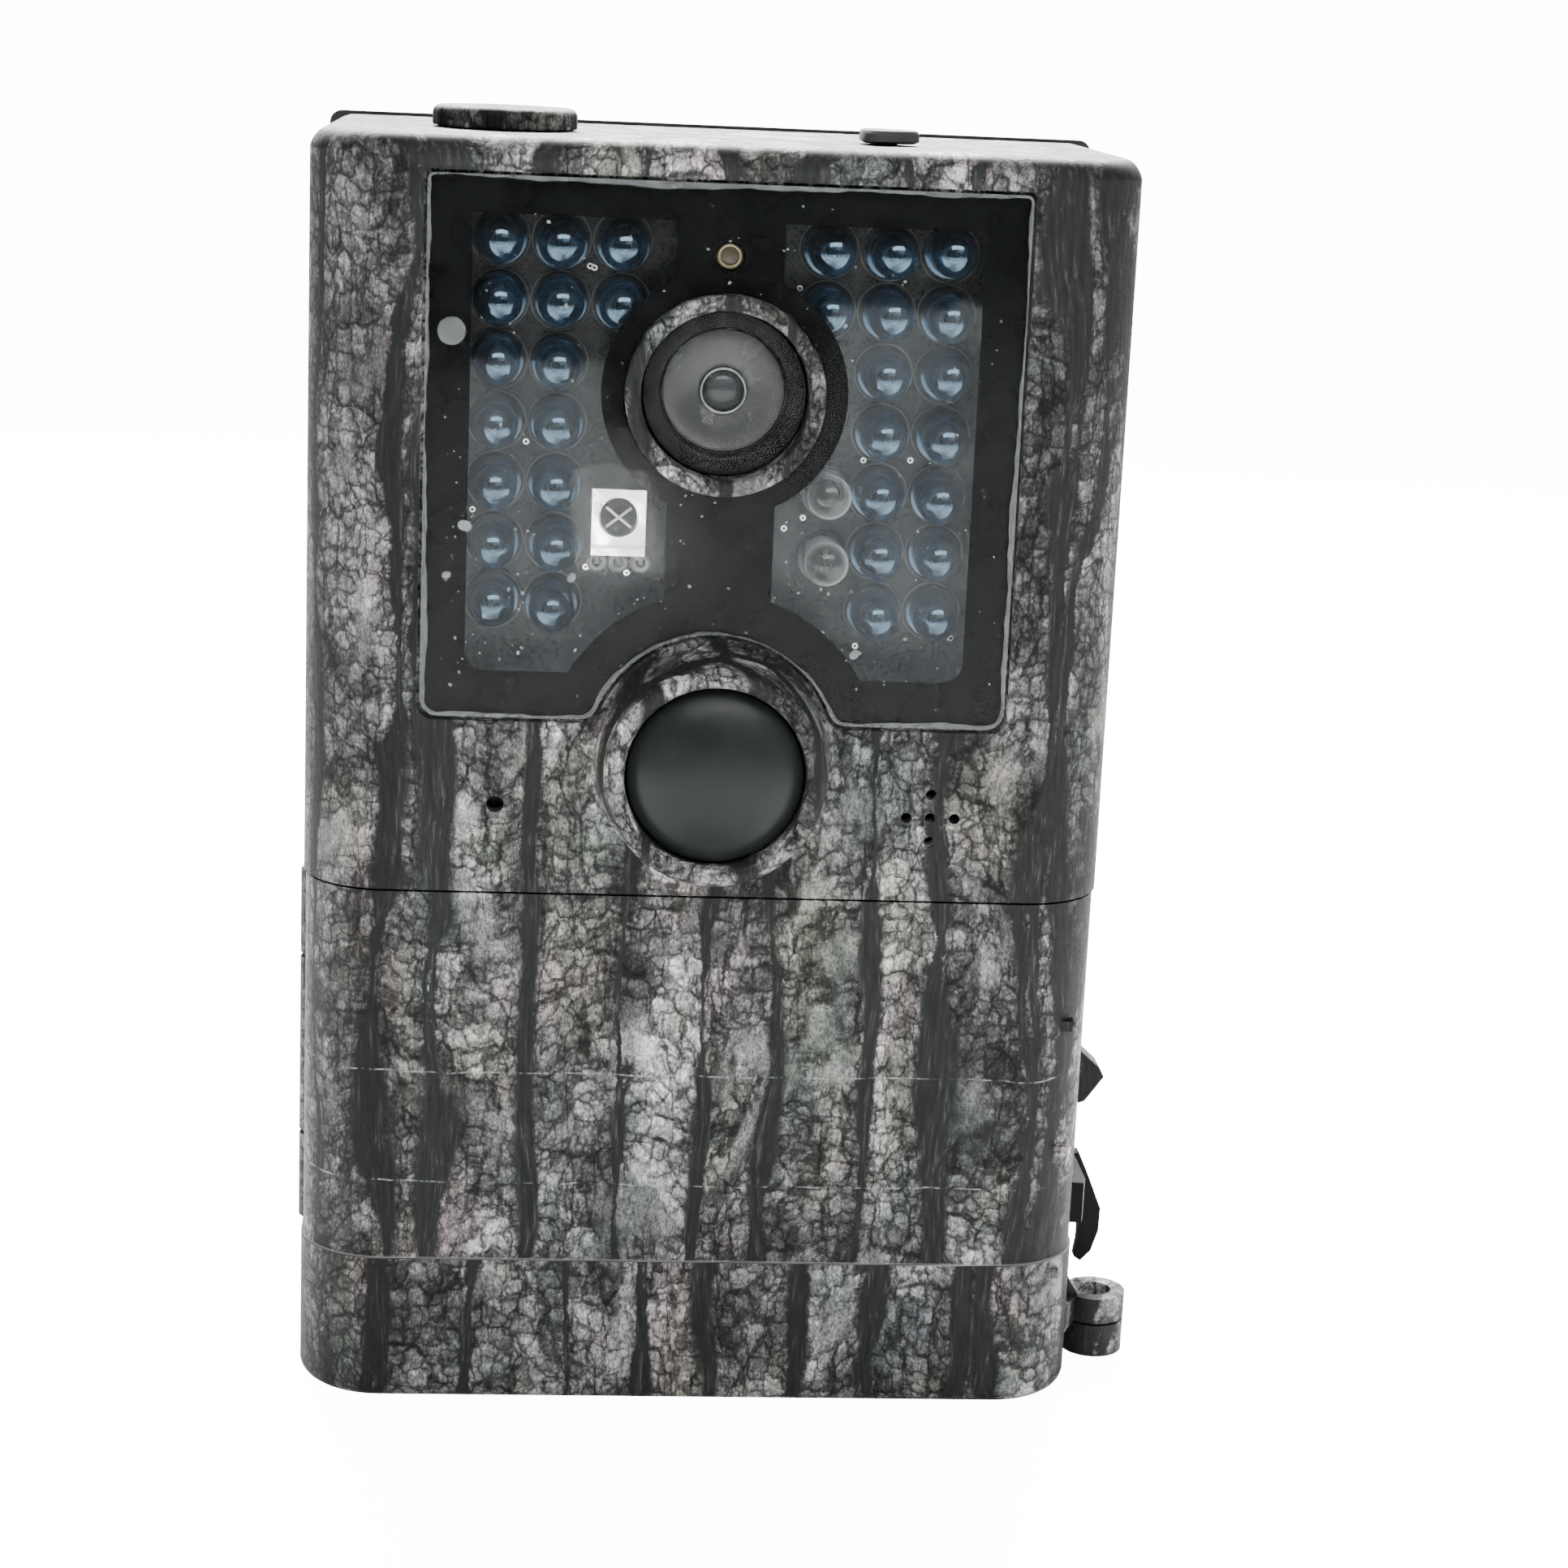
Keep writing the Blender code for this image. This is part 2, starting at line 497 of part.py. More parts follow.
def make_controls():
    """The control panel behind the door: screen, keys, mode switch, card and sockets."""
    panel = prism("control_panel", rounded((-37.2, 37.2), (6.8, 56.2), 1.2), "Y", 16.6, 18.2, "panel_grey")
    cut(panel, box("screen_way", (-30, 8), (15, 20), (23.5, 52.0)))
    offsets = {"up": (0, 1), "down": (0, -1), "left": (-1, 0), "right": (1, 0), "ok": (0, 0)}
    spots = {}
    for name, (dx, dz) in offsets.items():
        spots[name] = (BUTTON_CENTRE[0] + dx * BUTTON_PITCH, BUTTON_CENTRE[1] + dz * BUTTON_PITCH)
    cut(panel, hole_row(list(spots.values()), BUTTON_RADIUS + 0.3, 15, 20, steps=20))
    cx, cz = SWITCH_CENTRE
    cut(panel, box("switch_way", (cx - 5.7, cx + 5.7), (15, 20), (cz - 1.9, cz + 1.9)))
    cx, cz = CARD_CENTRE
    cut(panel, box("card_way", (cx - 12.5, cx + 12.5), (15, 20), (cz - 1.5, cz + 1.5)))
    cx, cz = SOCKET_CENTRE
    cut(panel, box("socket_way", (cx - 4.3, cx + 4.3), (15, 20), (cz - 2.2, cz + 2.2)))
    box("screen", (-33, 10.5), (18.5, 21.4), (21.5, 54.0), "screen_dark")
    box("main_board", (-38, 38), (22.2, 23.8), (19.5, 60), "board")
    for name, (x, z) in spots.items():
        profile = [(0, 15.6), (BUTTON_RADIUS - 0.4, 15.6), (BUTTON_RADIUS, 16.0), (BUTTON_RADIUS, 18.6)]
        profile += [(3.2, 18.6), (3.2, 19.4), (1.2, 19.4), (1.2, 20.9), (0, 20.9)]
        key = turned(f"button_{name}", profile, "Y", (x, 0, z), "key_grey", steps=20)
        origin_at(key, x, 15.6, z)
    cx, cz = SWITCH_CENTRE
    knob = box("mode_switch", (cx - 1.6, cx + 1.6), (15.3, 19.0), (cz - 1.5, cz + 1.5), "key_grey")
    add(knob, box("switch_foot", (cx - 6.2, cx + 6.2), (18.55, 19.8), (cz - 3, cz + 3)))
    origin_at(knob, cx, 15.3, cz)
    cx, cz = CARD_CENTRE
    slot = box("card_slot", (cx - 14, cx + 14), (18.6, 45.6), (cz - 2.0, cz + 2.0), "steel")
    cut(slot, box("slot_way", (cx - 12.4, cx + 12.4), (17, 48), (cz - 1.35, cz + 1.35)))
    outline = [(cx - 12, 15.2), (cx + 12, 15.2), (cx + 12, 44.6), (cx + 9.6, 47.0), (cx - 12, 47.0)]
    card = prism("memory_card", outline, "Z", cz - 1.05, cz + 1.05, "dark_plastic")
    origin_at(card, cx, 15.2, cz)
    cx, cz = SOCKET_CENTRE
    socket = box("usb_socket", (cx - 4.0, cx + 4.0), (16.8, 25.5), (cz - 1.95, cz + 1.95), "steel")
    cut(socket, box("socket_room", (cx - 3.5, cx + 3.5), (16, 24.8), (cz - 1.45, cz + 1.45)))


def make_latch_and_pins():
    """The hinge pin, and the side latch: a claw along the door's wall and a thumb paddle standing out."""
    rod("hinge_pin", PIN_RADIUS, "Z", (HINGE_X, HINGE_Y, 0), 16.5, 58.4, "steel", steps=20)
    rod("latch_pin", 0.7, "Z", (LATCH_X, LATCH_Y, 0), 8.4, 27.0, "steel", steps=16)
    lever = rod("latch_lever", LATCH_BARREL_RADIUS, "Z", (LATCH_X, LATCH_Y, 0), 10.8, 24.6, "dark_plastic", steps=20)
    paddle = [(45.0, 24.0), (47.2, 24.4), (48.4, 21.8), (50.25, 17.3), (50.2, 14.4), (49.4, 11.8), (48.2, 10.5)]
    paddle += [(47.4, 11.0), (47.7, 13.0), (47.7, 16.4), (47.1, 18.2), (45.0, 18.6)]
    add(lever, prism("paddle", paddle, "Y", 18.7, 20.5))
    arm = [(45.35, 19.6), (44.9, 18.9), (45.35, 11.2), (44.5, 11.2), (44.5, 9.6), (46.3, 9.4), (46.7, 11.0), (46.7, 18.9)]
    add(lever, prism("claw_arm", arm, "Z", 19.0, 24.0))
    cut(lever, rod("lever_bore", 0.76, "Z", (LATCH_X, LATCH_Y, 0), 9, 26, steps=16))
    origin_at(lever, LATCH_X, LATCH_Y, 0)


def make_battery_tray():
    """The tray that slides out of the base, its four cells and its contact plate."""
    tray = box("battery_tray", (-31.2, 31.2), (47.8, 64.25), (0.3, 57.5), "dark_plastic")
    cut(tray, box("tray_room", (-29.8, 29.8), (46, 63.4), (2.6, 55.6)))
    base = 3.0
    for i in range(4):
        x = (i - 1.5) * CELL_PITCH
        top = base + CELL_LENGTH
        profile = [(0, base), (CELL_RADIUS - 0.5, base), (CELL_RADIUS, base + 0.5), (CELL_RADIUS, top - 1.8)]
        profile += [(CELL_RADIUS - 0.5, top - 1.3), (2.6, top - 1.3), (2.6, top), (0, top)]
        turned(f"battery_cell_{i + 1}", profile, "Z", (x, CELL_Y, 0), "cell_sleeve", steps=20)
    box("contact_plate", (-29, 29), (50, 62), (54.2, 55.0), "brass")
    release = box("tray_release", (-5.0, 5.0), (36.5, 41.5), (0.4, 3.2), "dark_plastic")
    add(release, box("release_foot", (-6.4, 6.4), (35.4, 42.6), (2.7, 4.0)))
    origin_at(release, 0, 39.0, 0.4)


def make_top_and_base():
    """The blanking cap and plug on top, and the tripod insert, power socket and its stopper in the base."""
    top = BODY_HEIGHT
    profile = [(0, top - 1.0), (5.6, top - 1.0), (5.6, top + 0.2), (8.0, top + 0.2), (8.0, top + 2.0)]
    profile += [(7.6, top + 2.4), (0, top + 2.4)]
    cap = turned("antenna_cap", profile, "Z", (CAP_X, CAP_Y, 0), "camouflage", steps=32)
    origin_at(cap, CAP_X, CAP_Y, top)
    lobes = []
    for i in range(24):
        angle = 2 * math.pi * i / 24
        reach = 3.25 + 0.45 * math.cos(3 * angle)
        lobes.append((PLUG_X + reach * math.cos(angle), PLUG_Y + reach * math.sin(angle)))
    plug = prism("top_plug", lobes, "Z", top + 0.2, top + 1.7, "rubber")
    add(plug, rod("plug_stem", 1.3, "Z", (PLUG_X, PLUG_Y, 0), top - 3.4, top + 0.8, steps=12))
    origin_at(plug, PLUG_X, PLUG_Y, top)
    tube("tripod_insert", 5.0, 3.2, "Z", (0, TRIPOD_Y, 0), 0.2, 9.0, "brass", steps=24)
    tube("dc_jack", 4.6, 3.25, "Z", (JACK_X, JACK_Y, 0), 3.0, 10.6, "dark_plastic", steps=20)
    stopper = rod("dc_plug", 2.9, "Z", (JACK_X, JACK_Y, 0), 0.3, 6.0, "rubber", steps=20)
    origin_at(stopper, JACK_X, JACK_Y, 0)


def main():
    """Builds every piece of the camera."""
    for old in list(bpy.data.objects):
        bpy.data.objects.remove(old)
    make_front_housing()
    make_lower_door()
    make_rear_housing()
    make_window()
    make_lens()
    make_lamps()
    make_sound_and_motion()
    make_controls()
    make_latch_and_pins()
    make_battery_tray()
    make_top_and_base()


main()
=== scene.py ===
import sys

import json
import logging
import math
from dataclasses import dataclass
from enum import Enum
from typing import Optional, Sequence, Union

import bmesh
import bpy
import numpy as np
from mathutils import Matrix, Vector

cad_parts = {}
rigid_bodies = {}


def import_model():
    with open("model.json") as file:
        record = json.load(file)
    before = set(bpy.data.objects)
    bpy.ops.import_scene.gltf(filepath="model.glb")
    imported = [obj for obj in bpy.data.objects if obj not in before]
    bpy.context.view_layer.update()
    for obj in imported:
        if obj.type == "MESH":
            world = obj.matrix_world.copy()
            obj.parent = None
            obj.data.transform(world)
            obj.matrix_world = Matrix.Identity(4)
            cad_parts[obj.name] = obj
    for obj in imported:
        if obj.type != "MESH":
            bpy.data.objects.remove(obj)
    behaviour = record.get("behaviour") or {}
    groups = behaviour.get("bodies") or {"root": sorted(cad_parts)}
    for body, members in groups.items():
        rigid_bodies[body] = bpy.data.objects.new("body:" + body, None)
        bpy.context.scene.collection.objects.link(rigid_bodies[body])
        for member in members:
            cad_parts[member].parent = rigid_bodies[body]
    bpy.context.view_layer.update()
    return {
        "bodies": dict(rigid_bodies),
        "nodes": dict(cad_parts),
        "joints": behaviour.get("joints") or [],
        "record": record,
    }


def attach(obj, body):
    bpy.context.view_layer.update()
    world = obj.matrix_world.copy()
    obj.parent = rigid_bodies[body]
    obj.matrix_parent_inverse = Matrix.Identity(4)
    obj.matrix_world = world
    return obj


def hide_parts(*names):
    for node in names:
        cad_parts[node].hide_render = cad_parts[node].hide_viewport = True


Array = np.ndarray
Piece = bpy.types.Object
Socket = bpy.types.NodeSocket
LOG = logging.getLogger("trail_camera")
Points = Union[Array, Sequence]
Span = tuple[float, float]
HALF_DEPTH = 33.5
HINGE = (-43.6, 16.0, 0.0)
LATCH = (44.5, 19.5, 0.0)
PADLOCK_EYE = (49.4, 15.0, 0.0)
LENS_EYE = (0.0, 0.0, 116.1)
SENSOR_EYE = (0.0, 0.0, 76.2)
LIGHT_EYE = (0.0, 0.0, 130.8)
RECEIVER_EYE = (-10.9, 0.0, 101.9)
CAP = (-24.4, 20.0, 0.0)
PLUG = (17.6, 17.0, 0.0)
TRIPOD = (0.0, 25.0, 0.0)
JACK = (29.0, 30.0, 0.0)


class Axis(Enum):
    """The row axis that a shape is turned about or extruded along."""

    X = 0
    Y = 1
    Z = 2


class Carve(Enum):
    """What a tool body does to the body it meets."""

    CUT = "DIFFERENCE"
    ADD = "UNION"


# ------------------------------------------------------------------------------------------------ geometry


def to_row(points: Array) -> Array:
    """Turns millimetres, with Y as depth behind the face, into row metres.

    Args:
        points: any array whose last axis is x, depth, z.

    Returns:
        The points as an (n, 3) array in metres.
    """
    out = np.asarray(points, dtype=float).reshape(-1, 3).copy()
    out[:, 1] -= HALF_DEPTH
    return out * 0.001


def place_axes(along: Array, first: Array, second: Array, axis: Axis) -> Array:
    """Puts a distance along an axis and the two distances across it in x, y, z order.

    Args:
        along: distances along the axis.
        first: distances along the first other axis, in X, Y, Z order.
        second: distances along the second other axis.
        axis: the axis.

    Returns:
        An array of the same shape with a last axis of three.
    """
    parts = [first, second]
    parts.insert(axis.value, along)
    return np.stack(np.broadcast_arrays(*parts), axis=-1)


def make_piece(name: str, points: Array, faces: Sequence[Sequence[int]], weld: bool = True) -> Piece:
    """Makes a mesh object from millimetre points, welded and with its faces turned outwards.

    Args:
        name: the piece's name.
        points: (n, 3) points in millimetres.
        faces: corner indices of each face.
        weld: whether doubled points are merged and normals worked out afresh.

    Returns:
        The new object at the origin.
    """
    mesh = bpy.data.meshes.new(name)
    mesh.from_pydata(to_row(points).tolist(), [], [list(map(int, f)) for f in faces])
    if weld:
        work = bmesh.new()
        work.from_mesh(mesh)
        bmesh.ops.remove_doubles(work, verts=work.verts, dist=2e-8)
        bmesh.ops.recalc_face_normals(work, faces=work.faces)
        work.to_mesh(mesh)
        work.free()
    piece = bpy.data.objects.new(name, mesh)
    bpy.context.scene.collection.objects.link(piece)
    return piece


def grid_faces(rows: int, columns: int, wrap_rows: bool = False, wrap_columns: bool = True) -> Array:
    """Quads of a rows by columns grid of points, numbered row by row.

    Args:
        rows: number of rows.
        columns: number of points in a row.
        wrap_rows: whether the last row joins the first.
        wrap_columns: whether each row is a closed loop.

    Returns:
        An (m, 4) array of corner indices.
    """
    r = np.arange(rows if wrap_rows else rows - 1)[:, None]
    c = np.arange(columns if wrap_columns else columns - 1)[None, :]
    r2, c2 = (r + 1) % rows, (c + 1) % columns
    quads = (r * columns + c, r * columns + c2, r2 * columns + c2, r2 * columns + c)
    return np.stack(np.broadcast_arrays(*quads), -1).reshape(-1, 4)


def arc(centre: Span, radius: float, start: float, stop: float, steps: int) -> Array:
    """Points on a circle: centre plus radius times (cosine, sine) of evenly spaced angles in degrees.

    Args:
        centre: the circle's centre.
        radius: its radius.
        start: first angle.
        stop: last angle.
        steps: number of chords.

    Returns:
        A (steps + 1, 2) array.
    """
    angle = np.radians(np.linspace(start, stop, steps + 1))
    return np.array(centre) + radius * np.stack([np.cos(angle), np.sin(angle)], -1)


def rounded(x: Span, y: Span, radius: float, steps: int = 8) -> Array:
    """A rectangle with round corners: four quarter arcs joined by straight sides.

    Args:
        x: span along the first axis.
        y: span along the second axis.
        radius: corner radius.
        steps: chords in each corner.

    Returns:
        A closed outline, anticlockwise.
    """
    r = radius
    return np.vstack([
        arc((x[0] + r, y[0] + r), r, 180, 270, steps),
        arc((x[1] - r, y[0] + r), r, 270, 360, steps),
        arc((x[1] - r, y[1] - r), r, 0, 90, steps),
        arc((x[0] + r, y[1] - r), r, 90, 180, steps),
    ])


def loft(name: str, rings: Array) -> Piece:
    """Skins equal closed rings one after another and closes both ends with flat faces.

    Args:
        name: the piece's name.
        rings: (levels, points, 3) millimetre points.

    Returns:
        A closed piece.
    """
    levels, count = rings.shape[:2]
    faces = grid_faces(levels, count).tolist()
    faces += [list(range(count)), list(range((levels - 1) * count, levels * count))]
    return make_piece(name, rings.reshape(-1, 3), faces)


def extrude(name: str, outline: Array, axis: Axis, low: float, high: float) -> Piece:
    """Carries a closed outline straight along an axis.

    Args:
        name: the piece's name.
        outline: (n, 2) points on the two other axes, in X, Y, Z order.
        axis: the direction.
        low: where it starts.
        high: where it ends.

    Returns:
        A closed piece.
    """
    along = np.array([low, high])[:, None]
    return loft(name, place_axes(along, outline[None, :, 0], outline[None, :, 1], axis))


def block(name: str, x: Span, y: Span, z: Span) -> Piece:
    """A plain tool block from its three spans."""
    return extrude(name, rounded(x, y, 1e-4, 1), Axis.Z, z[0], z[1])


def band(name: str, outer: Array, inner: Array, axis: Axis, low: float, high: float) -> Piece:
    """A flat ring: a rectangular section carried round between two matching outlines.

    Args:
        name: the piece's name.
        outer: (n, 2) outer outline.
        inner: (n, 2) inner outline with its points beside the outer ones.
        axis: the ring's axis.
        low: where it starts.
        high: where it ends.

    Returns:
        A closed ring.
    """
    loops = np.stack([outer, outer, inner, inner])
    along = np.array([low, high, high, low])[:, None]
    points = place_axes(along, loops[..., 0], loops[..., 1], axis)
    return make_piece(name, points.reshape(-1, 3), grid_faces(4, len(outer), wrap_rows=True))


def lathe(name: str, profile: Points, axis: Axis, centres: Points, steps: int = 64,
          closed: bool = False) -> Piece:
    """Turns a profile about an axis at one or more centres: radius by (cosine, sine) across, distance along.

    Args:
        name: the piece's name.
        profile: (k, 2) values of radius and distance along the axis.
        axis: the axis each copy turns about.
        centres: one point on the axis, or (n, 3) points, one for each copy.
        steps: points round the circle.
        closed: whether the profile is a ring's section and not a line from axis to axis.

    Returns:
        One closed piece holding every copy.
    """
    profile = np.asarray(profile, dtype=float)
    angle = 2 * np.pi * (np.arange(steps) + 0.5) / steps
    across = profile[:, :1, None] * np.stack([np.cos(angle), np.sin(angle)])[None]
    one = place_axes(profile[:, 1:], across[:, 0], across[:, 1], axis)
    centres = np.atleast_2d(np.asarray(centres, dtype=float))
    points = centres[:, None, None, :] + one[None]
    quads = grid_faces(len(profile), steps, wrap_rows=closed)
    offset = (np.arange(len(centres)) * len(profile) * steps)[:, None, None]
    return make_piece(name, points.reshape(-1, 3), (quads[None] + offset).reshape(-1, 4))


def tube(name: str, paths: Array, radius: float, sides: int = 10) -> Piece:
    """Carries a circle along each path, square to the path's own direction at every point.

    Args:
        name: the piece's name.
        paths: (n, k, 3) centrelines in millimetres.
        radius: the circle's radius.
        sides: points round the circle.

    Returns:
        One piece holding every tube, with closed ends.
    """
    paths = np.asarray(paths, dtype=float)
    heading = np.gradient(paths, axis=1)
    heading /= np.linalg.norm(heading, axis=-1, keepdims=True)
    helper = np.where(np.abs(heading[..., 2:]) > 0.9, [1.0, 0.0, 0.0], [0.0, 0.0, 1.0])
    side = np.cross(heading, helper)
    side /= np.linalg.norm(side, axis=-1, keepdims=True)
    other = np.cross(heading, side)
    angle = 2 * np.pi * np.arange(sides) / sides
    ring = side[..., None, :] * np.cos(angle)[:, None] + other[..., None, :] * np.sin(angle)[:, None]
    points = paths[..., None, :] + radius * ring
    count, length = paths.shape[:2]
    offset = np.arange(count) * length * sides
    faces = (grid_faces(length, sides)[None] + offset[:, None, None]).reshape(-1, 4).tolist()
    for start in offset:
        faces.append(list(range(start, start + sides)))
        faces.append(list(range(start + (length - 1) * sides, start + length * sides)))
    return make_piece(name, points.reshape(-1, 3), faces)


def merged(name: str, pieces: Sequence[Piece]) -> Piece:
    """Joins several meshes into one piece.

    Args:
        name: the new piece's name.
        pieces: the pieces to join. They are removed.

    Returns:
        The new piece.
    """
    work = bmesh.new()
    for piece in pieces:
        work.from_mesh(piece.data)
        bpy.data.objects.remove(piece)
    mesh = bpy.data.meshes.new(name)
    work.to_mesh(mesh)
    work.free()
    made = bpy.data.objects.new(name, mesh)
    bpy.context.scene.collection.objects.link(made)
    return made


def carve(body: Piece, steps: Sequence[tuple[Carve, Piece]]) -> Piece:
    """Cuts and adds tool bodies in order and keeps the result as the body's own mesh.

    Args:
        body: the piece to work on.
        steps: what to do with each tool body. The tools are removed.

    Returns:
        The same piece.
    """
    for work, tool in steps:
        change = body.modifiers.new(tool.name, "BOOLEAN")
        change.operation = work.value
        change.solver = "EXACT"
        change.object = tool
        tool.hide_render = True
    bpy.context.view_layer.update()
    result = bpy.data.meshes.new_from_object(body.evaluated_get(bpy.context.evaluated_depsgraph_get()))
    body.modifiers.clear()
    body.data = result
    for _, tool in steps:
        bpy.data.objects.remove(tool)
    return body


def ease_edges(piece: Piece, width: float, segments: int = 2, angle: float = 38.0) -> Piece:
    """Rounds a piece's sharp edges by a width in millimetres and smooths its shading.

    Args:
        piece: the piece to finish.
        width: the rounding's width.
        segments: steps across each rounding.
        angle: edges sharper than this many degrees are rounded.

    Returns:
        The same piece.
    """
    piece.data.shade_smooth()
    change = piece.modifiers.new("eased_edges", "BEVEL")
    change.width = width * 0.001
    change.segments = segments
    change.limit_method = "ANGLE"
    change.angle_limit = math.radians(angle)
    change.harden_normals = True
    change.miter_outer = "MITER_ARC"
    return piece


def smooth(piece: Piece, angle: float = 40.0) -> Piece:
    """Smooths a piece's shading except across its sharp edges.

    Args:
        piece: the piece to finish.
        angle: edges sharper than this many degrees stay crisp.

    Returns:
        The same piece.
    """
    piece.data.shade_smooth()
    piece.data.set_sharp_from_angle(angle=math.radians(angle))
    return piece


def settle(piece: Piece, angle: float = 50.0) -> Piece:
    """Smooths a piece that was carved again after its edges were eased, so that its flat faces shade flat.

    Args:
        piece: the piece to finish.
        angle: edges sharper than this many degrees stay crisp.

    Returns:
        The same piece.
    """
    smooth(piece, angle)
    even = piece.modifiers.new("even_shading", "WEIGHTED_NORMAL")
    even.keep_sharp = True
    return piece


def ripple(length: int, waves: Sequence[tuple[int, float]], seed: int) -> Array:
    """A closed irregular line: a sum of whole-number sine waves with seeded phases.

    Args:
        length: number of samples round the loop.
        waves: (cycles, strength) of each wave.
        seed: chooses the phases.

    Returns:
        Values of about -1 to 1 times the strengths' sum.
    """
    phases = np.random.default_rng(seed).uniform(0, 2 * np.pi, len(waves))
    turn = np.linspace(0, 2 * np.pi, length, endpoint=False)
    return sum(s * np.sin(n * turn + p) for (n, s), p in zip(waves, phases))


# ------------------------------------------------------------------------------------------------ finishes


class Graph:
    """A short way to lay out one material's shader nodes."""

    def __init__(self, name: str) -> None:
        """Starts an empty material of that name."""
        self.material = bpy.data.materials.new(name)
        self.material.use_nodes = True
        self.nodes = self.material.node_tree.nodes
        self.links = self.material.node_tree.links
        self.nodes.clear()
        self.place = self.node("ShaderNodeTexCoord").outputs["Object"]

    def node(self, kind: str, inputs: Optional[dict] = None, **settings: object) -> bpy.types.Node:
        """Adds a shader node.

        Args:
            kind: the node's type.
            inputs: socket name or number to a value or to a socket that feeds it.
            settings: the node's own properties.

        Returns:
            The node.
        """
        made = self.nodes.new(kind)
        for key, value in settings.items():
            setattr(made, key, value)
        for key, value in (inputs or {}).items():
            if isinstance(value, bpy.types.NodeSocket):
                self.links.new(value, made.inputs[key])
            else:
                made.inputs[key].default_value = value
        return made

    def scaled(self, x: float, y: float, z: float, source: Optional[Socket] = None) -> Socket:
        """The place times a factor along each axis, so that a pattern's cell is one unit."""
        return self.vector("MULTIPLY", source or self.place, (x, y, z))

    def vector(self, operation: str, a: object, b: object) -> Socket:
        """One sum of two vectors."""
        return self.node("ShaderNodeVectorMath", {0: a, 1: b}, operation=operation).outputs[0]

    def math(self, operation: str, a: object, b: object = 0.5, clamp: bool = False) -> Socket:
        """One sum of two values."""
        return self.node("ShaderNodeMath", {0: a, 1: b}, operation=operation, use_clamp=clamp).outputs[0]

    def noise(self, vector: Socket, detail: float = 2.0, rough: float = 0.5) -> bpy.types.Node:
        """Noise whose features are about one unit of the vector across."""
        given = {"Vector": vector, "Scale": 1.0, "Detail": detail, "Roughness": rough}
        return self.node("ShaderNodeTexNoise", given)

    def parts(self, vector: Socket) -> bpy.types.bpy_prop_collection:
        """A vector's X, Y and Z."""
        return self.node("ShaderNodeSeparateXYZ", {0: vector}).outputs

    def warped(self, vector: Socket, by: Socket, amount: tuple[float, float, float]) -> Socket:
        """A vector pushed about by a colour's offset from grey.

        Args:
            vector: the place.
            by: the colour that pushes.
            amount: how far along each axis.

        Returns:
            The pushed vector.
        """
        centred = self.vector("SUBTRACT", by, (0.5, 0.5, 0.5))
        return self.vector("ADD", vector, self.vector("MULTIPLY", centred, amount))

    def cells(self, vector: Socket, feature: str = "DISTANCE_TO_EDGE", dimensions: str = "3D",
              square: bool = False) -> bpy.types.Node:
        """Cells about one unit of the vector across.

        Args:
            vector: where to look the cells up.
            feature: which of the cells' measures is wanted.
            dimensions: "2D" or "3D".
            square: whether distance is the longest of the three steps, which makes blocky cells.

        Returns:
            The node.
        """
        settings = {"feature": feature, "voronoi_dimensions": dimensions}
        if square:
            settings["distance"] = "CHEBYCHEV"
        return self.node("ShaderNodeTexVoronoi", {"Vector": vector, "Scale": 1.0}, **settings)

    def fade(self, value: Socket, low: object, high: object, start: float = 0.0, stop: float = 1.0) -> Socket:
        """A smooth step of a value between two limits."""
        given = {"Value": value, "From Min": low, "From Max": high, "To Min": start, "To Max": stop}
        return self.node("ShaderNodeMapRange", given, interpolation_type="SMOOTHSTEP").outputs[0]

    def ramp(self, value: Socket, stops: Sequence[tuple[float, tuple[float, float, float]]]) -> Socket:
        """Colours along a value from 0 to 1.

        Args:
            value: the value.
            stops: position and colour of each stop.

        Returns:
            The colour.
        """
        made = self.node("ShaderNodeValToRGB", {0: value})
        scale = made.color_ramp
        while len(scale.elements) < len(stops):
            scale.elements.new(0.5)
        for element, (position, colour) in zip(scale.elements, stops):
            element.position = position
            element.color = (*colour, 1.0)
        return made.outputs[0]

    def blend(self, factor: object, a: object, b: object, mode: str = "MIX") -> Socket:
        """Two colours mixed by a factor.

        Args:
            factor: how much of the second colour shows.
            a: the first colour, as a socket or a value.
            b: the second colour.
            mode: the way they are mixed.

        Returns:
            The mixed colour.
        """
        made = self.node("ShaderNodeMix", {0: factor}, data_type="RGBA", blend_type=mode)
        for socket, value in ((made.inputs[6], a), (made.inputs[7], b)):
            if isinstance(value, bpy.types.NodeSocket):
                self.links.new(value, socket)
            else:
                socket.default_value = (*value, 1.0)
        return made.outputs[2]

    def bump(self, height: Socket, strength: float, distance: float) -> Socket:
        """A normal bent by a height in metres times distance."""
        given = {"Height": height, "Strength": strength, "Distance": distance}
        return self.node("ShaderNodeBump", given).outputs[0]

    def finish(self, surface: bpy.types.Node) -> bpy.types.Material:
        """Joins the surface shader to the output.

        Args:
            surface: the shader's node.

        Returns:
            The finished material.
        """
        out = self.node("ShaderNodeOutputMaterial")
        self.links.new(surface.outputs[0], out.inputs["Surface"])
        return self.material

    def principled(self, colour: object, rough: object, normal: Optional[Socket] = None,
                   **fixed: object) -> bpy.types.Material:
        """Ends the material with one principled surface.

        Args:
            colour: the base colour.
            rough: the roughness.
            normal: the bent normal, if there is one.
            fixed: other inputs, by name with underscores for spaces.

        Returns:
            The finished material.
        """
        surface = self.node("ShaderNodeBsdfPrincipled", {"Base Color": colour, "Roughness": rough})
        if normal is not None:
            self.links.new(normal, surface.inputs["Normal"])
        for key, value in fixed.items():
            surface.inputs[key.replace("_", " ")].default_value = value
        return self.finish(surface)

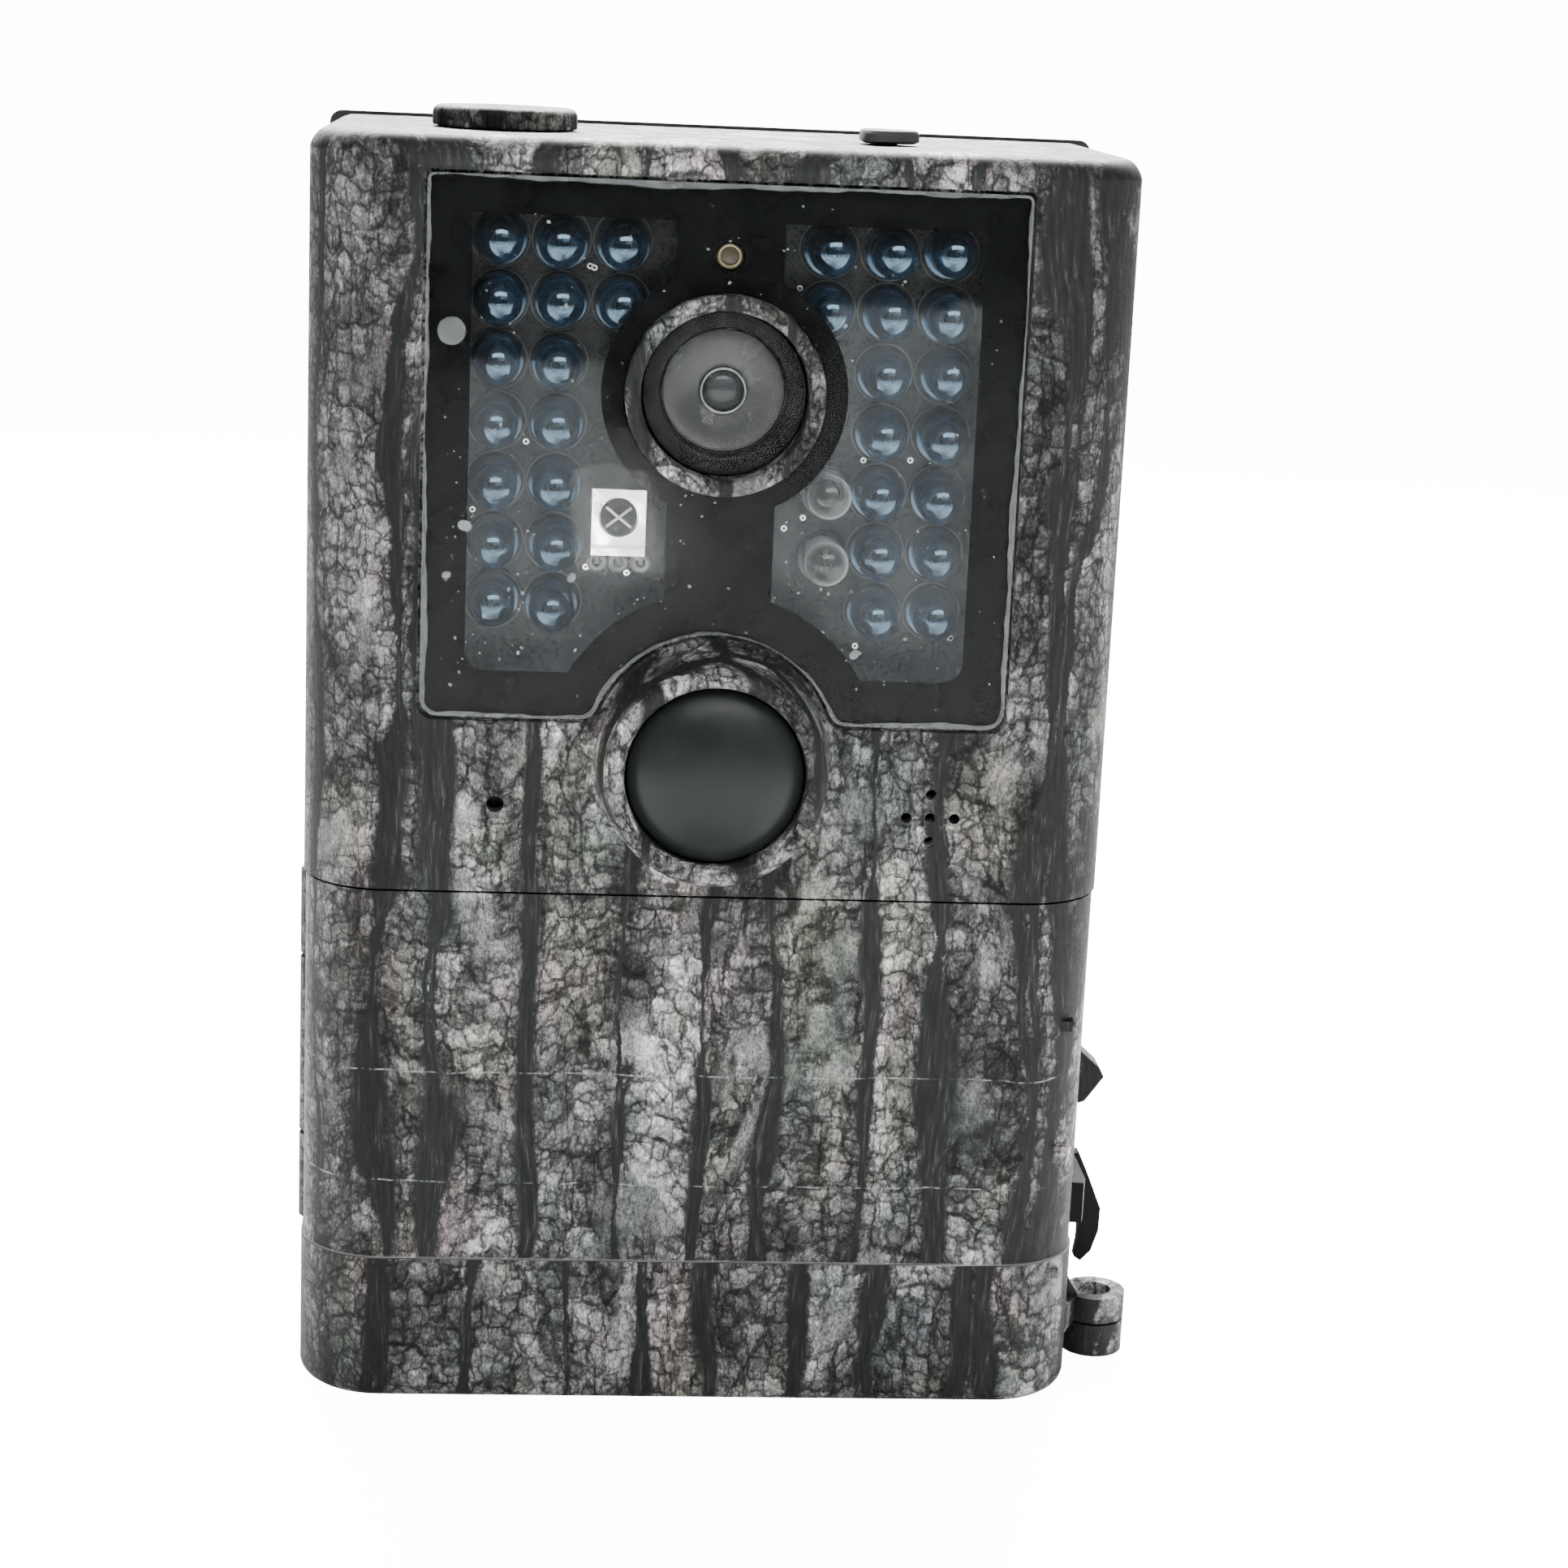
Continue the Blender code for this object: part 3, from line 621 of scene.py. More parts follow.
    def see_through(self, clear: Sequence[float], body: bpy.types.Node, amount: Socket, gloss: dict,
                    rim: Socket) -> bpy.types.Material:
        """Ends the material as a clear sheet, part covered by a body and topped by a gloss.

        Args:
            clear: the tint of what is seen through it.
            body: the shader of what covers it.
            amount: how much is covered.
            gloss: the gloss's inputs.
            rim: how much of the gloss shows.

        Returns:
            The finished material.
        """
        way = self.node("ShaderNodeBsdfTransparent", {"Color": (*clear, 1.0)})
        core = self.node("ShaderNodeMixShader", {0: amount, 1: way.outputs[0], 2: body.outputs[0]})
        top = self.node("ShaderNodeBsdfGlossy", gloss)
        return self.finish(self.node("ShaderNodeMixShader", {0: rim, 1: core.outputs[0], 2: top.outputs[0]}))


@dataclass(frozen=True)
class BarkFilm:
    """Dipped camouflage film: tall bark ridges, dark furrows between them and a net of small cracks.

    Lengths are millimetres. A ridge is a cell of a flat Voronoi net over x and y, so it runs up every side
    wall; noise pushes the net sideways as it rises. The cracks are edges of three smaller blocky nets, each
    given as its cells for one crack length, how tall they are, line width, line darkness and plate shading.
    """

    name: str = "bark_film"
    ridge: float = 9.5
    furrow: float = 0.15
    shade: float = 1.34
    crack: float = 2.05
    rough: float = 0.62
    nets: tuple[tuple[float, float, float, float, float], ...] = (
        (1.0, 0.85, 0.17, 0.34, 0.72), (2.2, 0.8, 0.20, 0.66, 0.84), (0.42, 0.6, 0.06, 0.30, 0.90))
    tones: tuple[tuple[float, float, float, float], ...] = (
        (0.14, 0.040, 0.043, 0.042), (0.36, 0.100, 0.104, 0.100), (0.54, 0.200, 0.198, 0.192),
        (0.72, 0.360, 0.350, 0.350), (0.95, 0.640, 0.600, 0.630))
    pits: tuple[tuple[float, float, float, float], ...] = (
        (0.38, 0.007, 0.008, 0.008), (0.58, 0.0135, 0.0145, 0.0145), (0.76, 0.060, 0.062, 0.061))
    seams: tuple[float, ...] = ()
    crease: float = 17.3

    def build(self) -> bpy.types.Material:
        """Makes the material.

        Returns:
            A material for every camouflaged shell.
        """
        g = Graph(self.name)
        mm = g.scaled(1000, 1000, 1000)
        flat = mm
        if self.seams:
            rise = g.parts(mm)["Z"]
            below = g.fade(rise, self.crease - 0.2, self.crease, 5.6, 0.0)
            slip = g.node("ShaderNodeCombineXYZ", {"X": below}).outputs[0]
            mm = g.vector("ADD", mm, slip)
        sway = g.noise(g.scaled(0.085, 0.085, 0.032, mm), 2.0, 0.5).outputs["Color"]
        bent = g.warped(mm, sway, (6.0, 6.0, 7.0))
        ragged = g.noise(g.scaled(0.62, 0.62, 0.42, mm), 4.0, 0.7).outputs["Color"]
        torn = g.warped(bent, ragged, (1.5, 1.5, 2.2))
        net = g.scaled(1 / self.ridge, 1 / self.ridge, 0.0, torn)
        edge = g.cells(net, dimensions="2D").outputs["Distance"]
        tone = g.node("ShaderNodeSeparateColor", {0: g.cells(net, "F1", "2D").outputs["Color"]}).outputs[0]
        patch = g.noise(g.scaled(0.06, 0.06, 0.05, mm), 2.0).outputs["Fac"]
        width = g.fade(patch, 0.36, 0.62, 0.03, self.furrow)
        furrow = g.fade(edge, g.math("MULTIPLY", width, 0.6), g.math("MULTIPLY", width, 1.1), 1.0, 0.0)
        slope = g.fade(edge, 0.03, 0.30, 0.62, 1.05)
        blocks = g.cells(g.scaled(1 / self.ridge, 1 / self.ridge, 0.075, torn), "F1", "3D", True)
        block_tone = g.node("ShaderNodeSeparateColor", {0: blocks.outputs["Color"]}).outputs[1]

        nudge = g.noise(g.scaled(1.0, 1.0, 0.8, mm), 3.0, 0.65).outputs["Color"]
        plates = g.warped(bent, nudge, (1.1, 1.1, 1.0))
        c = 1 / self.crack
        relief = None
        for size, tall, thin, low, bowl in self.nets:
            at = g.scaled(c * size, c * size, c * size * tall, plates)
            near, far = g.cells(at, "F1", "3D", True), g.cells(at, "F2", "3D", True)
            gap = g.math("SUBTRACT", far.outputs["Distance"], near.outputs["Distance"])
            up = g.parts(g.vector("SUBTRACT", at, near.outputs["Position"]))["Z"]
            dye = g.node("ShaderNodeSeparateColor", {0: near.outputs["Color"]}).outputs[0]
            for part in (g.fade(gap, 0.01, thin, low, 1.0), g.fade(gap, 0.0, 0.5, bowl, 1.08),
                         g.fade(up, -0.5, 0.5, 0.5 + bowl / 2, 1.5 - bowl / 2),
                         g.fade(dye, 0.0, 1.0, bowl, 2.0 - bowl)):
                relief = part if relief is None else g.math("MULTIPLY", relief, part)
        where = g.noise(g.scaled(0.17, 0.17, 0.10, torn), 2.0).outputs["Fac"]
        depth = g.fade(where, 0.28, 0.42, 0.25, 1.0)
        plate = g.math("ADD", g.math("MULTIPLY", relief, depth), g.math("SUBTRACT", 1.0, depth))

        cloud = g.noise(g.scaled(0.19, 0.19, 0.085, torn), 4.0, 0.62).outputs["Fac"]
        grain = g.noise(g.scaled(3.8, 3.8, 2.4, mm), 3.0, 0.75).outputs["Fac"]
        fibre = g.noise(g.scaled(2.4, 2.4, 0.40, torn), 4.0, 0.7).outputs["Fac"]
        level = g.math("ADD", g.math("MULTIPLY", cloud, 1.15), g.math("MULTIPLY", tone, 0.20))
        level = g.math("ADD", level, g.math("MULTIPLY", block_tone, 0.34))
        level = g.math("SUBTRACT", level, 0.375, clamp=True)
        k = self.shade
        bark = g.ramp(level, [(at, (red * k, green * k, blue * k)) for at, red, green, blue in self.tones])
        hue = g.noise(g.scaled(0.11, 0.11, 0.06, mm), 2.0).outputs["Color"]
        tint = g.blend(0.16, (0.5, 0.5, 0.5), hue)
        bark = g.blend(1.0, bark, g.blend(1.0, (2.0, 2.0, 2.0), tint, "MULTIPLY"), "MULTIPLY")
        dots, threads = g.fade(grain, 0.28, 0.72, 0.42, 1.65), g.fade(fibre, 0.3, 0.7, 0.70, 1.35)
        speckle = g.math("MULTIPLY", dots, threads)
        shading = g.math("MULTIPLY", g.math("MULTIPLY", plate, slope), speckle)
        bark = g.blend(1.0, bark, shading, "MULTIPLY")
        streak = g.noise(g.scaled(2.1, 2.1, 0.16, bent), 4.0, 0.65).outputs["Fac"]
        pit = g.ramp(streak, [(at, (red * k, green * k, blue * k)) for at, red, green, blue in self.pits])
        # Painted shade: the film's colour is darkened towards the left rounded corner, and a little towards the
        # right one, standing in for the shade that falls on those sides.
        across = g.parts(flat)["X"]
        left, right = g.fade(across, -38.5, -30.0, 0.42, 1.0), g.fade(across, 33.0, 41.0, 1.0, 0.7)
        corner = g.math("MULTIPLY", left, right)
        colour = g.blend(1.0, g.blend(furrow, bark, pit), corner, "MULTIPLY")
        for line in self.seams:
            colour = self.seam(g, flat, colour, line)
        # Painted highlight: a pale line is painted along the door's crease, standing in for the light caught by
        # the ledge there.
        if self.seams:
            lip = g.math("ABSOLUTE", g.math("SUBTRACT", rise, self.crease))
            colour = g.blend(g.fade(lip, 0.02, 0.12, 0.42, 0.0), colour, (0.22, 0.23, 0.23))
        height = g.math("MULTIPLY", plate, g.math("SUBTRACT", 1.0, furrow))
        orange = g.noise(g.scaled(2.4, 2.4, 2.4, mm), 2.0).outputs["Fac"]
        rough = g.fade(orange, 0.3, 0.7, self.rough - 0.06, self.rough + 0.06)
        return g.principled(colour, rough, g.bump(height, 0.45, 0.00006), Specular_IOR_Level=0.15)

    def seam(self, g: Graph, flat: Socket, colour: Socket, level: float) -> Socket:
        """Draws a thin broken pale line where two lengths of film overlap.

        Args:
            g: the material being built.
            flat: the place in millimetres.
            colour: the colour so far.
            level: the line's height.

        Returns:
            The colour with the line over it.
        """
        split = g.parts(flat)
        sway = g.noise(g.scaled(0.12, 0.12, 0.02, flat), 3.0).outputs["Fac"]
        offset = g.math("SUBTRACT", g.math("ADD", split["Z"], g.math("MULTIPLY", sway, 1.4)), level + 0.7)
        near = g.fade(g.math("ABSOLUTE", offset), 0.03, 0.14, 1.0, 0.0)
        gaps = g.noise(g.scaled(0.33, 0.33, 0.03, flat), 4.0, 0.75).outputs["Fac"]
        line = g.math("MULTIPLY", near, g.fade(gaps, 0.44, 0.70, 0.0, 0.72))
        return g.blend(line, colour, (0.46, 0.49, 0.49))


@dataclass(frozen=True)
class Moulding:
    """Moulded plastic, rubber or print: a mottled colour, a fine texture and faint scuffs, in millimetres."""

    name: str
    colour: tuple[float, float, float]
    rough: float = 0.5
    texture: float = 0.35
    relief: float = 0.25
    scuff: float = 0.3
    specular: float = 0.5

    def build(self) -> bpy.types.Material:
        """Makes the material.

        Returns:
            The material.
        """
        g = Graph(self.name)
        mm = g.scaled(1000, 1000, 1000)
        mottle = g.noise(g.scaled(0.18, 0.18, 0.18, mm), 3.0).outputs["Fac"]
        scuffs = g.noise(g.scaled(0.9, 0.9, 0.25, mm), 4.0, 0.7).outputs["Fac"]
        c = self.colour
        base = g.ramp(mottle, [(0.3, tuple(v * 0.82 for v in c)), (0.7, tuple(v * 1.15 for v in c))])
        worn = g.fade(scuffs, 0.62, 0.78, 0.0, self.scuff)
        base = g.blend(worn, base, tuple(min(1.0, v * 1.8 + 0.02) for v in c))
        skin = g.noise(g.scaled(1 / self.texture, 1 / self.texture, 1 / self.texture, mm), 2.0).outputs["Fac"]
        rough = g.fade(mottle, 0.2, 0.8, max(0.02, self.rough - 0.07), self.rough + 0.07)
        return g.principled(base, rough, g.bump(skin, self.relief, 0.00004), Specular_IOR_Level=self.specular)


@dataclass(frozen=True)
class Metal:
    """Worked metal with fine drawn lines and a little tarnish. Lengths in millimetres."""

    name: str
    colour: tuple[float, float, float]
    rough: float = 0.3
    lines: tuple[float, float, float] = (6.0, 6.0, 0.4)

    def build(self) -> bpy.types.Material:
        """Makes the material.

        Returns:
            The material.
        """
        g = Graph(self.name)
        mm = g.scaled(1000, 1000, 1000)
        drawn = g.noise(g.scaled(*self.lines, mm), 2.0).outputs["Fac"]
        dull = g.noise(g.scaled(0.4, 0.4, 0.4, mm), 3.0).outputs["Fac"]
        c = self.colour
        base = g.ramp(dull, [(0.3, tuple(v * 0.72 for v in c)), (0.7, c)])
        rough = g.fade(dull, 0.25, 0.75, self.rough - 0.08, self.rough + 0.12)
        return g.principled(base, rough, g.bump(drawn, 0.2, 0.00003), Metallic=1.0)


@dataclass(frozen=True)
class Pane:
    """Clear plastic seen as a see-through sheet with a gloss and an uneven haze; the haze can also be thick below
    a slanted line and thin above it, as painted reflection and painted shade.
    """

    name: str
    haze: float = 0.05
    haze_colour: tuple[float, float, float] = (0.75, 0.78, 0.8)
    rough: float = 0.06
    blotch: float = 0.12
    clear: tuple[float, float, float] = (1.0, 1.0, 1.0)
    bend: float = 1.45
    gloss: float = 1.0
    painted_reflection_edge: float = 0.0
    painted_reflection_slant: float = 0.0

    def build(self) -> bpy.types.Material:
        """Makes the material.

        Returns:
            The material.
        """
        g = Graph(self.name)
        mm = g.scaled(1000, 1000, 1000)
        cloud = g.noise(g.scaled(self.blotch, self.blotch, self.blotch, mm), 4.0, 0.6).outputs["Fac"]
        amount = g.fade(cloud, 0.3, 0.75, self.haze * 0.55, self.haze * 1.3)
        # Painted reflection and painted shade: the haze is thick below a slanted, wandering line about 2.5 mm
        # above this height and nearly gone above it, so the lower window shows a painted pale reflection and its
        # top a painted shade.
        if self.painted_reflection_edge:
            split = g.parts(mm)
            slip = g.fade(split["X"], 5.0, 13.0, 0.0, self.painted_reflection_slant)
            wander = g.math("MULTIPLY", g.noise(g.scaled(0.22, 0.0, 0.1, mm), 3.0).outputs["Fac"], 5.0)
            rise = g.math("SUBTRACT", g.math("ADD", split["Z"], wander), slip)
            low = self.painted_reflection_edge + 2.5
            amount = g.math("MULTIPLY", amount, g.fade(rise, low - 0.7, low + 0.7, 1.0, 0.06))
        dust = g.node("ShaderNodeBsdfDiffuse", {"Color": (*self.haze_colour, 1.0)})
        rim = g.node("ShaderNodeFresnel", {"IOR": self.bend}).outputs[0]
        inside = g.node("ShaderNodeNewGeometry").outputs["Backfacing"]
        rim = g.math("MULTIPLY", rim, g.math("MULTIPLY", g.math("SUBTRACT", 1.0, inside), self.gloss))
        return g.see_through(self.clear, dust, amount, {"Roughness": self.rough}, rim)


@dataclass(frozen=True)
class CircuitBoard:
    """A board's solder mask with raised copper tracks under it. Lengths in millimetres."""

    name: str
    colour: tuple[float, float, float] = (0.014, 0.017, 0.017)
    rough: float = 0.3

    def build(self) -> bpy.types.Material:
        """Makes the material.

        Returns:
            The material.
        """
        g = Graph(self.name)
        mm = g.scaled(1000, 1000, 1000)
        net = g.cells(g.scaled(0.28, 0.28, 0.36, mm)).outputs["Distance"]
        track = g.fade(net, 0.05, 0.075, 1.0, 0.0)
        pour = g.cells(g.scaled(0.07, 0.07, 0.11, mm)).outputs["Distance"]
        copper = g.math("MAXIMUM", track, g.fade(pour, 0.04, 0.05, 1.0, 0.0))
        c = self.colour
        base = g.blend(copper, c, tuple(v * 1.5 for v in c))
        fleck = g.noise(g.scaled(3.0, 3.0, 3.0, mm), 2.0).outputs["Fac"]
        rough = g.fade(fleck, 0.3, 0.7, self.rough - 0.05, self.rough + 0.08)
        return g.principled(base, rough, g.bump(copper, 0.12, 0.00002), Specular_IOR_Level=0.3)


@dataclass(frozen=True)
class LampEpoxy:
    """Clear lamp epoxy seen as a tinted see-through skin with a strong gloss at its rim."""

    name: str
    tint: tuple[float, float, float] = (0.70, 0.80, 0.90)
    body: tuple[float, float, float] = (0.026, 0.055, 0.09)
    filled: float = 0.12
    shine: tuple[float, float, float] = (0.45, 0.70, 0.95)
    bend: float = 2.1
    polish: float = 0.12

    def build(self) -> bpy.types.Material:
        """Makes the material.

        Returns:
            The material.
        """
        g = Graph(self.name)
        facing = g.node("ShaderNodeLayerWeight", {"Blend": 0.42}).outputs["Facing"]
        amount = g.fade(facing, 0.15, 0.95, self.filled, 0.92)
        skin = g.node("ShaderNodeBsdfPrincipled", {"Base Color": (*self.body, 1.0), "Roughness": self.polish})
        gloss = {"Roughness": self.polish, "Color": (*self.shine, 1.0)}
        rim = g.node("ShaderNodeFresnel", {"IOR": self.bend}).outputs[0]
        return g.see_through(self.tint, skin, amount, gloss, rim)


class Finishes:
    """Every finish on the camera, made once, and each CAD slot's own finish."""

    def __init__(self) -> None:
        """Builds the materials."""
        made = [
            BarkFilm(),
            BarkFilm("door_film", seams=(39.5, 26.4)),
            BarkFilm("cap_film", shade=0.6),
            Moulding("black_plastic", (0.006, 0.006, 0.0065), 0.6, specular=0.08),
            Moulding("window_print", (0.0028, 0.0032, 0.0033), 0.1, 0.6, 0.0, 0.0, 0.11),
            Moulding("soft_rubber", (0.022, 0.023, 0.024), 0.8, 0.3, 0.3, 0.2, 0.3),
            Moulding("plug_rubber", (0.055, 0.056, 0.06), 0.75, 0.3, 0.3, 0.1, 0.3),
            Moulding("dome_plastic", (0.0125, 0.0148, 0.0155), 0.36, 0.9, 0.03, 0.03, 0.2),
            Moulding("panel_grey", (0.085, 0.09, 0.095), 0.6, 0.25, 0.4, 0.1),
            Moulding("key_grey", (0.30, 0.31, 0.32), 0.55, 0.25, 0.3, 0.1),
            Moulding("mark_white", (0.65, 0.66, 0.66), 0.5, 0.3, 0.1, 0.0),
            Moulding("screen_dark", (0.008, 0.010, 0.013), 0.1, 1.5, 0.02, 0.0, 0.6),
            Moulding("cell_sleeve", (0.035, 0.12, 0.15), 0.28, 0.8, 0.05, 0.05),
            Moulding("board_print", (0.055, 0.06, 0.06), 0.6, 0.3, 0.1, 0.0),
            Moulding("lens_black", (0.004, 0.004, 0.0045), 0.3, 0.4, 0.02, 0.03, 0.08),
            Moulding("sensor_brown", (0.05, 0.035, 0.02), 0.35, 0.3, 0.1, 0.0),
            Metal("satin_steel", (0.62, 0.62, 0.63), 0.32),
            Metal("tinned_can", (0.98, 0.99, 0.98), 0.16, (1.2, 1.2, 1.2)),
            Metal("bright_solder", (0.98, 0.98, 0.97), 0.5, (1.2, 1.2, 1.2)),
            Metal("bare_brass", (0.52, 0.42, 0.21), 0.4),
            Metal("dull_brass", (0.30, 0.27, 0.16), 0.4),
            Moulding("lens_dust", (0.048, 0.051, 0.050), 0.24, 0.35, 0.02, 0.7, 0.35),
            Moulding("infrared_core", (0.014, 0.024, 0.036), 0.2, 0.8, 0.04, 0.0, 0.5),
            Metal("infrared_cup", (0.28, 0.52, 0.80), 0.4),
            Metal("lens_rim", (0.34, 0.36, 0.35), 0.4),
            Pane("window_clear", 0.002, rough=0.03, gloss=0.08),
            Pane("lens_cover_pane", 0.012, (0.55, 0.58, 0.57), 0.05, 0.35, gloss=0.12),
            Pane("lens_coat", 0.62, (0.085, 0.10, 0.10), 0.08, 0.2, (0.35, 0.36, 0.42)),
            # The zone film carries the painted reflection below about 121.5 mm and painted shade above it.
            Pane("zone_film", 0.028, (0.60, 0.66, 0.68), 0.05, 0.10, gloss=0.1, painted_reflection_edge=119.0,
                 painted_reflection_slant=7.0),
            Pane("film_edge", 0.11, (0.5, 0.54, 0.54), 0.35, 0.9),
            Pane("speck", 0.2, (0.6, 0.64, 0.64), 0.3, 0.9),
            CircuitBoard("lamp_board_mask", (0.010, 0.0125, 0.0125)),
            CircuitBoard("green_board_mask", (0.012, 0.045, 0.026), 0.35),
            LampEpoxy("lamp_epoxy"),
            # Painted highlight: the indicators' clear epoxy gets a pale body that fills in towards the rim,
            # standing in for the bright glints on the clear domes.
            LampEpoxy("clear_epoxy", (0.97, 0.98, 0.99), (0.80, 0.82, 0.83), 0.03, (1.0, 1.0, 1.0), 1.5),
        ]
        self.by_name = {finish.name: finish.build() for finish in made}
        self.by_slot = {
            "camouflage": "bark_film", "dark_plastic": "black_plastic", "mask_black": "window_print",
            "window_clear": "window_clear", "lamp_clear": "lamp_epoxy", "board": "green_board_mask",
            "steel": "satin_steel", "brass": "bare_brass", "rubber": "soft_rubber", "fresnel": "dome_plastic",
            "panel_grey": "panel_grey", "screen_dark": "screen_dark", "cell_sleeve": "cell_sleeve",
            "key_grey": "key_grey",
        }

    def __getitem__(self, name: str) -> bpy.types.Material:
        """The finish of that name."""
        return self.by_name[name]


class Bench:
    """Hands finished pieces to the frame: dresses them, makes them ride and reports them."""

    def __init__(self, frame: dict) -> None:
        """Keeps the frame and builds the finishes."""
        self.frame = frame
        self.finishes = Finishes()
        self.slots = {s["node"]: s["material_slot"] for s in frame["record"]["subparts"]}
        self.replaced: set[str] = set()

    def hand_in(self, piece: Piece, body: str, finish: str, slot: str, *nodes: str) -> Piece:
        """Finishes one piece.

        Args:
            piece: the finished mesh object.
            body: the CAD body it rides on.
            finish: the finish's name.
            slot: the record's material slot it belongs to; not used.
            nodes: the CAD nodes it stands for.

        Returns:
            The same piece.
        """
        piece.data.materials.clear()
        piece.data.materials.append(self.finishes[finish])
        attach(piece, body)
        if nodes:
            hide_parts(*nodes)
            self.replaced.update(nodes)
        LOG.info("%s: %d faces on %s", piece.name, len(piece.data.polygons), body)
        return piece

    def turned(self, name: str, profile: Points, centres: Points, finish: str, slot: str, *nodes: str,
               body: str = "camera", axis: Axis = Axis.Y, steps: int = 40, angle: float = 50.0,
               closed: bool = False) -> Piece:
        """Turns a profile, smooths it and hands it in.

        Args:
            name: the piece's name.
            profile: radius and distance pairs.
            centres: one centre, or one for each copy.
            finish: the finish's name.
            slot: the record's material slot.
            nodes: the CAD nodes it stands for.
            body: the CAD body it rides on.
            axis: the axis it turns about.
            steps: points round the circle.
            angle: edges sharper than this many degrees stay crisp.
            closed: whether the profile is a ring's section.

        Returns:
            The piece.
        """
        made = smooth(lathe(name, profile, axis, centres, steps, closed), angle)
        return self.hand_in(made, body, finish, slot, *nodes)

    def dress_the_rest(self, special: dict[str, str]) -> None:
        """Gives every CAD node still shown its finish.

        Args:
            special: node name to finish name, where the slot's own finish isn't the one.
        """
        for name, node in self.frame["nodes"].items():
            if name in self.replaced:
                continue
            finish = special.get(name) or self.finishes.by_slot[self.slots[name]]
            node.data.materials.clear()
            node.data.materials.append(self.finishes[finish])
            LOG.info("%s: CAD node dressed in %s", name, finish)


# ------------------------------------------------------------------------------------------------ outlines


def plan(inset: float, depth: Span, radii: Span, half: float, steps: int = 14) -> Array:
    """A housing seen from above: front corners of one radius, rear corners of another, drawn in by inset.

    Args:
        inset: how far the front and sides are drawn in.
        depth: front and rear depth.
        radii: front and rear corner radius; one under 2 mm keeps its end face where it is.
        half: half the width.
        steps: chords in each corner.

    Returns:
        A closed (x, depth) outline.
    """
    w = half - inset
    y0 = depth[0] + (inset if radii[0] > 2 else 0)
    y1 = depth[1] - (inset if radii[1] > 2 else 0)
    front, rear = (max(r - inset, 0.6) for r in radii)
    return np.vstack([
        arc((-w + front, y0 + front), front, 180, 270, steps),
        arc((w - front, y0 + front), front, 270, 360, steps),
        arc((w - rear, y1 - rear), rear, 0, 90, steps),
        arc((-w + rear, y1 - rear), rear, 90, 180, steps),
    ])


def shell(name: str, levels: Points, depth: Span, radii: Span, half: float) -> Piece:
    """A housing block lofted up through its plan at (height, inset) levels.

    Args:
        name: the piece's name.
        levels: heights and insets.
        depth: front and rear depth.
        radii: front and rear corner radius.
        half: half the width.

    Returns:
        A closed block.
    """
    rings = []
    for z, inset in levels:
        outline = plan(inset, depth, radii, half)
        rings.append(place_axes(np.full(len(outline), z), outline[:, 0], outline[:, 1], Axis.Z))
    return loft(name, np.stack(rings))


def window_outline(inset: float) -> Array:
    """The window's outline on the face: a rectangle whose lower edge arches over the sensor collar.

    Args:
        inset: how far the outline is drawn in.

    Returns:
        A closed (x, z) outline.
    """
    w, top, bottom = 32.2 - inset, 138.6 - inset, 80.1 + inset
    corner, nip, arch, ease, middle = 2.0, 0.8, 13.7 + inset, 2.0, SENSOR_EYE[2]
    ease_z = bottom + ease
    ease_x = math.sqrt((arch + ease) ** 2 - (ease_z - middle) ** 2)
    tilt = math.degrees(math.atan2(ease_z - middle, ease_x))
    return np.vstack([
        arc((w - corner, bottom + corner), corner, 270, 360, 6),
        arc((w - nip, top - nip), nip, 0, 90, 4),
        arc((-w + nip, top - nip), nip, 90, 180, 4),
        arc((-w + corner, bottom + corner), corner, 180, 270, 6),
        arc((-ease_x, ease_z), ease, 270, 360 - tilt, 6),
        arc((0, middle), arch, 180 - tilt, tilt, 40)[1:-1],
        arc((ease_x, ease_z), ease, 180 + tilt, 270, 6),
    ])


def clear_zone(side: int) -> Array:
    """One of the two clear areas left in the window's print.

    Args:
        side: -1 for the left one, 1 for the right one.

    Returns:
        A closed (x, z) outline.
    """
    half_bar, edge, bottom, top, ring, arch, corner = 5.85, 27.3, 85.2, 134.4, 13.3, 18.4, 2.2
    low = math.degrees(math.asin((bottom - SENSOR_EYE[2]) / arch))
    high = math.degrees(math.acos(half_bar / arch))
    span = math.degrees(math.acos(half_bar / ring))
    outline = np.vstack([
        [(edge, top), (half_bar, top)],
        arc((0, LENS_EYE[2]), ring, span, -span, 28),
        arc((0, SENSOR_EYE[2]), arch, high, low, 12),
        arc((edge - corner, bottom + corner), corner, 270, 360, 6),
    ])
    return outline * (side, 1)


def ear(name: str, root: Span, z: Span, tilt: float) -> Piece:
    """A padlock ear: a round eye joined by a web to the side wall. The hole is cut separately.

    Args:
        name: the tool's name.
        root: front and rear depth of the web at the wall.
        z: lower and upper face.
        tilt: the angle where the web meets the eye.

    Returns:
        A closed body to add to a shell.
    """
    wall = 44.2
    outline = np.vstack([[(wall, root[1]), (wall, root[0])], arc(PADLOCK_EYE[:2], 3.7, tilt, tilt + 260, 32)])
    return extrude(name, outline, Axis.Z, *z)


def rod(name: str, radius: float, axis: Axis, centres: Points, low: float, high: float,
        steps: int = 48) -> Piece:
    """Plain round tool bodies at one or more centres, as one tool.

    Args:
        name: the tool's name.
        radius: its radius.
        axis: the axis it lies along.
        centres: one point, or one for each copy.
        low: where it starts.
        high: where it ends.
        steps: points round the circle.

    Returns:
        The tool.
    """
    return lathe(name, [(0.0, low), (radius, low), (radius, high), (0.0, high)], axis, centres, steps)


